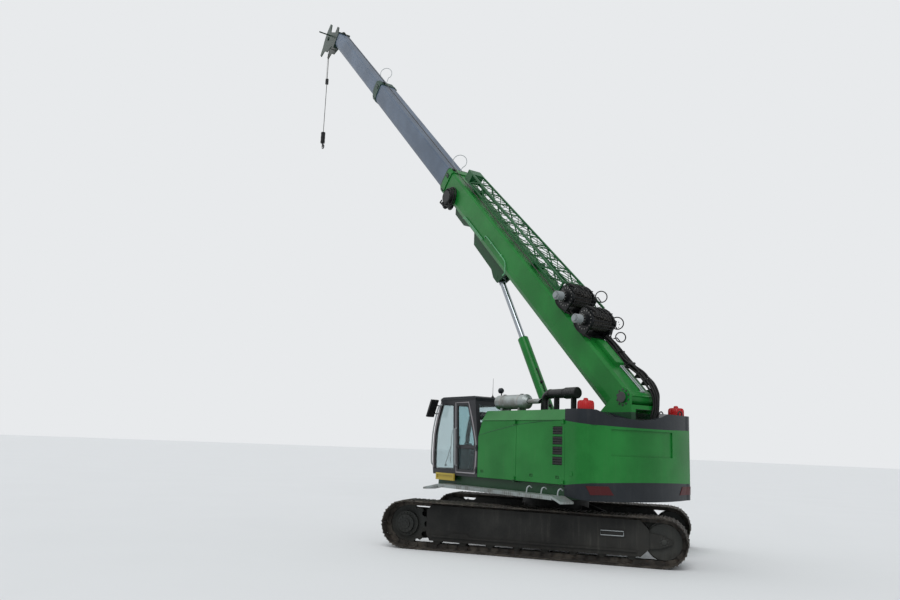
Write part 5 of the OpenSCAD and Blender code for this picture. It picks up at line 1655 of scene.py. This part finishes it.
    def cable_loops(self) -> None:
        """Thin cable loops that stand over the two heads."""
        for name, place, foot in (("base", (9.12, 0.0, 0.36), (8.90, 0.0, 0.158)),
                                  ("mid", (15.40, 0.0, 0.36), (15.1, 0.0, 0.125))):
            ring = standing_arc(BOOM.out(place), 0.19, -0.36 * math.pi, 1.15 * math.pi, 14)
            ends = BOOM.out([foot, (foot[0] + 0.03, foot[1] + 0.05, foot[2])])
            loop = smooth_path(np.concatenate([ends[:1], ring, ends[1:]]), 72)
            make(f"{name}_cable_loop", tube(loop, 0.009, 8), f"boom_{name}", Coat.CABLE)

    def build(self) -> None:
        """Makes all of the boom's fittings."""
        self.jib_lacing()
        self.pad_covers()
        self.pipes()
        self.stays()
        self.hose_bundle()
        self.head_hoses()
        self.cable_loops()


@dataclass
class Winch:
    """One winch: its wound rope, guard bars, bolts and hoses."""

    name: str
    body: str
    place: float
    height: float = 0.402
    drum: float = 0.165
    half: float = 0.268
    rope: float = 0.024
    rings: tuple[tuple[tuple[float, float], float], ...] = ()

    def windings(self) -> None:
        """Rope laid on the drum: the radius swells once for each turn, over the whole width."""
        y = np.linspace(-self.half + 0.002, self.half - 0.002, 160)
        swell = self.drum + 0.004 + self.rope * 0.9 * np.sqrt(np.abs(np.sin(math.pi * (y + self.half) / self.rope)))
        profile = np.concatenate([[(-self.half + 0.001, 0.1)], np.column_stack([y, swell]), [(self.half - 0.001, 0.1)]])
        wound = turned(profile, (self.place, 0, self.height), ACROSS, 48)
        make(f"{self.name}_rope_turns", wound.placed(BOOM), self.body, Coat.WOUND_ROPE)

    def fittings(self) -> None:
        """Bolts on the motor and the cheeks, and thin guard bars."""
        t, d = self.place, self.height
        motor, end, cheek, inner = (
            bolt_heads(ring_of((t, y, d), ACROSS, circle, count), ACROSS, size) for y, circle, count, size in (
                (0.42, 0.107, 12, 0.008), (0.60, 0.078, 8, 0.007), (0.33, 0.19, 16, 0.008), (0.33, 0.15, 16, 0.008)))
        bolts, far = joined(motor, end, cheek), inner.mirrored()
        make(f"{self.name}_bolts", joined(bolts, bolts.mirrored(), far).placed(BOOM), "boom_base",
             Coat.STEEL)
        bars = [tube([(t + a, -0.3, d + b), (t + a, 0.3, d + b)], 0.011, 8)
                for a, b in ((0.248, 0.02), (0.244, 0.09), (-0.248, 0.02), (-0.244, 0.09), (0.1, 0.228), (-0.1, 0.228),
                             (0.0, 0.248))]
        make(f"{self.name}_guard_bars", joined(*bars).placed(BOOM), "boom_base", Coat.BLACK)

    def hoses(self) -> None:
        """Round hose rings that stand out on the right, hoses that arch over the drum, and both motors' feeds."""
        t, d = self.place, self.height
        parts = []
        for (rt, rd), r in self.rings:
            centre, root = BOOM.out([rt, -0.35, rd]), BOOM.out([rt + 0.1, -0.31, rd - 0.12])
            parts.append(tube(standing_arc(centre, r, -0.2, 2 * math.pi - 0.2, 56), 0.012, 8))
            parts.append(tube([root, (root + centre) / 2, centre - [0.0, 0.0, r]], 0.012, 8))
        make(f"{self.name}_hose_rings", joined(*parts), "boom_base", Coat.RUBBER)
        parts = []
        for n in range(6):
            a = n * 1.1
            parts.append(tube(smooth_path([
                (t - 0.22 + 0.03 * n, -0.20 + 0.09 * n, d + 0.16), (t - 0.27 + 0.02 * n, -0.18 + 0.09 * n, d + 0.235),
                (t - 0.06 + 0.05 * math.sin(a), -0.15 + 0.08 * n, d + 0.275 + 0.02 * math.cos(a)),
                (t + 0.16, -0.16 + 0.09 * n, d + 0.235), (t + 0.24, -0.14 + 0.08 * n, d + 0.12)], 40), 0.015, 8))
        for side in (1, -1):
            for k in (0.0, 0.05):
                parts.append(tube(smooth_path([
                    (t + 0.03 - k, side * 0.52, d - 0.08), (t - 0.02 - k, side * 0.52, d - 0.15),
                    (t - 0.14 - k, side * (0.47 - k), d - 0.2), (t - 0.24 - k, side * (0.38 - k), d - 0.2),
                    (t - 0.3 - k, side * (0.30 - k), d - 0.225)], 32), 0.014, 8))
        make(f"{self.name}_hoses", joined(*parts).placed(BOOM), "boom_base", Coat.RUBBER)

    def build(self) -> None:
        """Makes the winch's rope and fittings."""
        self.windings()
        self.fittings()
        self.hoses()


@dataclass
class LuffingCylinder:
    """Pipe, valve and clamps of the luffing cylinder's barrel, in its own frame from the foot to the rod's eye."""

    radius: float = 0.122

    def build(self) -> None:
        """Makes the pipe on the barrel's rear side, with its clamps and its valve."""
        z = self.radius + 0.022
        pipe = tube(smooth_path([(0.35, 0.05, self.radius), (0.42, 0.05, z), (1.3, 0.05, z), (2.2, 0.05, z),
                                 (2.3, 0.05, self.radius)], 40), 0.012, 10)
        clamps = [block((x - 0.025, 0.02, self.radius - 0.012), (x + 0.025, 0.08, z + 0.018), 0.006)
                  for x in (0.7, 1.35, 1.95)]
        valve = block((0.95, 0.0, self.radius - 0.012), (1.08, 0.1, self.radius + 0.06), 0.01)
        make("barrel_pipe", joined(pipe, *clamps, valve).placed(CYLINDER), "cylinder_barrel",
             Coat.RUBBER)


@dataclass
class HoistLine:
    """The hoist rope from its drum over the boom to the head, its guide rollers, the head's rods and caps, the
    limit switch's chain, and the hook's rings and latch."""

    sheave: tuple[float, float] = (20.88, -0.515)
    groove: float = 0.1845
    hang: float = 0.1823
    hook_drop: float = 3.72
    rope: float = 0.012
    line: tuple[Point, ...] = ((1.9, 0.22, 0.208), (8.86, 0.22, 0.212), (15.02, 0.12, 0.182), (20.02, 0.0, 0.122))

    def stretch(self, name: str, a: Array, b: Array, bodies: tuple[str, ...]) -> None:
        """A straight run of rope between two points of the boom.

        Args:
            name: the piece's name.
            a, b: its ends, in the boom's frame.
            bodies: the body that carries it, or the two that it runs between.
        """
        share = np.linspace(0, 1, 24)[:, None]
        run = tube(np.asarray(a) * (1 - share) + np.asarray(b) * share, self.rope, 8).placed(BOOM)
        if len(bodies) == 2:
            blended(name, run, (BOOM.out(a), BOOM.out(b)), Coat.BOOM_ROPE)
        else:
            make(name, run, bodies[0], Coat.BOOM_ROPE)

    def runs(self) -> None:
        """Drum to the base section's roller, on to the inner section's, on to the head, and over its sheave: an
        arc from where the straight run touches the groove to where the rope hangs."""
        p = np.array(self.line)
        self.stretch("rope_over_base", p[0], p[1], ("boom_base",))
        self.stretch("rope_over_mid", p[1], p[2], ("boom_base", "boom_mid"))
        self.stretch("rope_over_tip", p[2], p[3], ("boom_mid", "boom_tip"))
        centre = np.array([self.sheave[0], 0.0, self.sheave[1]])
        reach = centre - p[3]
        along = math.atan2(reach[2], reach[0]) + math.asin(self.groove / float(np.hypot(reach[0], reach[2])))
        turn = np.linspace(along + math.pi / 2, -BOOM_RISE, 40)
        arc = centre + self.groove * np.column_stack([np.cos(turn), 0 * turn, np.sin(turn)])
        self.stretch("rope_to_sheave", p[3], arc[0], ("boom_tip",))
        blended("rope_on_sheave", tube(arc, self.rope, 8).placed(BOOM),
                (BOOM.out(arc[0]), BOOM.out(arc[-1])), Coat.BOOM_ROPE)

    def hanging(self) -> None:
        """The rope from the sheave down to the hook."""
        x, _, z = BOOM.out([self.sheave[0], 0.0, self.sheave[1]]) + [self.hang, 0.0, 0.0]
        at = z - np.linspace(0.0, self.hook_drop, 90)
        run = tube(np.column_stack([x + 0 * at, 0 * at, at]), self.rope, 10)
        ends = [x, 0, z - 0.02], [x, 0, z - self.hook_drop + 0.02]
        piece = blended("hanging_rope", run, ends, Coat.ROPE)
        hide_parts("hoist_rope")

    def rollers(self) -> None:
        """A roller between two small cheeks under the rope at each head."""
        r = 0.03
        for name, body, (t, y, d), floor in (("base_rope_roller", "boom_base", self.line[1], 0.163),
                                             ("mid_rope_roller", "boom_mid", self.line[2], 0.130),
                                             ("head_rope_roller", "boom_tip", self.line[3], 0.088)):
            axle = d - self.rope - r
            roller = turned([(-0.03, 0.0), (-0.03, r + 0.008), (-0.022, r), (0.022, r), (0.03, r + 0.008), (0.03, 0.0)],
                            (t, y, axle), ACROSS, 28)
            cheek = [prism([(t - 0.05, floor - 0.002), (t + 0.05, floor - 0.002), (t + 0.02, axle + 0.03),
                            (t - 0.02, axle + 0.03)], y + k * 0.034 - 0.003, y + k * 0.034 + 0.003) for k in (-1, 1)]
            make(name, joined(roller, *cheek).placed(BOOM), body, Coat.WINCH)

    def head_parts(self) -> None:
        """Guard rods between the head's plates, caps on the sheave pin, and the limit weight's own chain, whose
        radius swells once for each link."""
        t, d = self.sheave
        rods = [tube([(a, -0.135, b), (a, 0.135, b)], 0.012, 10)
                for a, b in ((20.37, -0.35), (20.64, -0.79), (21.12, -0.3))]
        caps = both_sides(joined(
            turned([(0.169, 0.0), (0.169, 0.075), (0.18, 0.075), (0.184, 0.06), (0.184, 0.0)], (t, 0, d), ACROSS, 28),
            bolt_heads(ring_of((t, 0.184, d), ACROSS, 0.045, 4), ACROSS, 0.008)))
        make("head_rods", joined(*rods, caps).placed(BOOM), "boom_tip", Coat.HEAD)
        x, _, z = BOOM.out([t, 0.0, d]) + [self.hang + 0.042, 0.0, 0.0]
        along = np.linspace(0, 1, 80)
        links = 0.005 + 0.003 * np.abs(np.sin(along * math.pi * 26))
        chain = tube(np.column_stack([x + 0 * along, 0.02 + 0 * along, z - 1.552 + along * 1.25]), links, 8)
        make("limit_chain", chain, "hoist_line", Coat.STEEL)

    def hook_parts(self) -> None:
        """Swivel rings on the hook's weight and the latch across its mouth."""
        x, _, z = BOOM.out([self.sheave[0], 0.0, self.sheave[1]]) + [self.hang, 0.0, -self.hook_drop]
        rings = joined(*[hoop(0.012, 0.078, 0.084, (x, 0, z - k), UPRIGHT) for k in (0.05, 0.21, 0.37)])
        latch = tube([(x + 0.012, 0, z - 0.545), (x + 0.03, 0, z - 0.585), (x + 0.025, 0, z - 0.63)], 0.006, 8)
        make("hook_rings", joined(rings, latch), "hook", Coat.WINCH)

    def build(self) -> None:
        """Makes the rope and what guides it."""
        self.runs()
        self.hanging()
        self.rollers()
        self.head_parts()
        self.hook_parts()


# ---- finishes of the CAD nodes ----
@dataclass
class Dressing:
    """Which CAD nodes wear each finish."""

    coats: dict[Coat, str] = field(default_factory=lambda: {
        Coat.FRAME: "carbody slew_ring left_side_frame right_side_frame",
        Coat.TRACK: "left_track right_track",
        Coat.WHEELS: "left_wheels right_wheels",
        Coat.DECK: "turntable_frame",
        Coat.HOUSING: "counterweight tank left_housing left_front_door left_rear_door right_housing right_front_door "
                      "right_rear_door",
        Coat.ANTHRACITE: "tail_bands cab_roof",
        Coat.RED: "marker_covers",
        Coat.CAST: "engine_block",
        Coat.MUFFLER: "muffler",
        Coat.CLEANER: "air_cleaner",
        Coat.WALKWAY: "walkway",
        Coat.CAB: "cab_shell cab_door",
        Coat.GLASS: "cab_glass",
        Coat.DOOR_GLASS: "cab_door_glass",
        Coat.YELLOW: "cab_step",
        Coat.BLACK: "operator_station cab_mirror head_sheaves limit_weight",
        Coat.GREEN: "luffing_barrel",
        Coat.CHROME: "luffing_rod",
        Coat.BASE_SECTION: "boom_base",
        Coat.SLIDING_SECTION: "boom_mid boom_tip",
        Coat.HEAD: "boom_head",
        Coat.WINCH: "winch_frame main_drum auxiliary_drum hook",
        Coat.JIB: "stowed_jib",
        Coat.ROPE: "hoist_rope",
    })

    def build(self) -> None:
        """Dresses every node, and says so where one was missed."""
        missed = set(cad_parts)
        for coat, nodes in self.coats.items():
            for node in nodes.split():
                dress(node, coat)
                missed.discard(node)
        if missed:
            LOG.warning("undressed: %s", sorted(missed))


def main() -> None:
    """Builds the studio and the sub-assemblies in order."""
    logging.basicConfig(level=logging.INFO, format="%(name)s %(message)s")
    Studio().build()
    Dressing().build()
    for hand in Side:
        Crawler(hand).build()
    SlewRing().build()
    Deckhouse().build()
    Cab().build()
    BoomFittings().build()
    Winch("main_winch", "main_drum", 1.9, rings=(((1.70, 0.568), 0.125), ((1.424, 0.416), 0.1))).build()
    Winch("auxiliary_winch", "auxiliary_drum", 2.7, rings=(((2.462, 0.693), 0.12),)).build()
    LuffingCylinder().build()
    HoistLine().build()


if __name__ == "__main__":
    main()
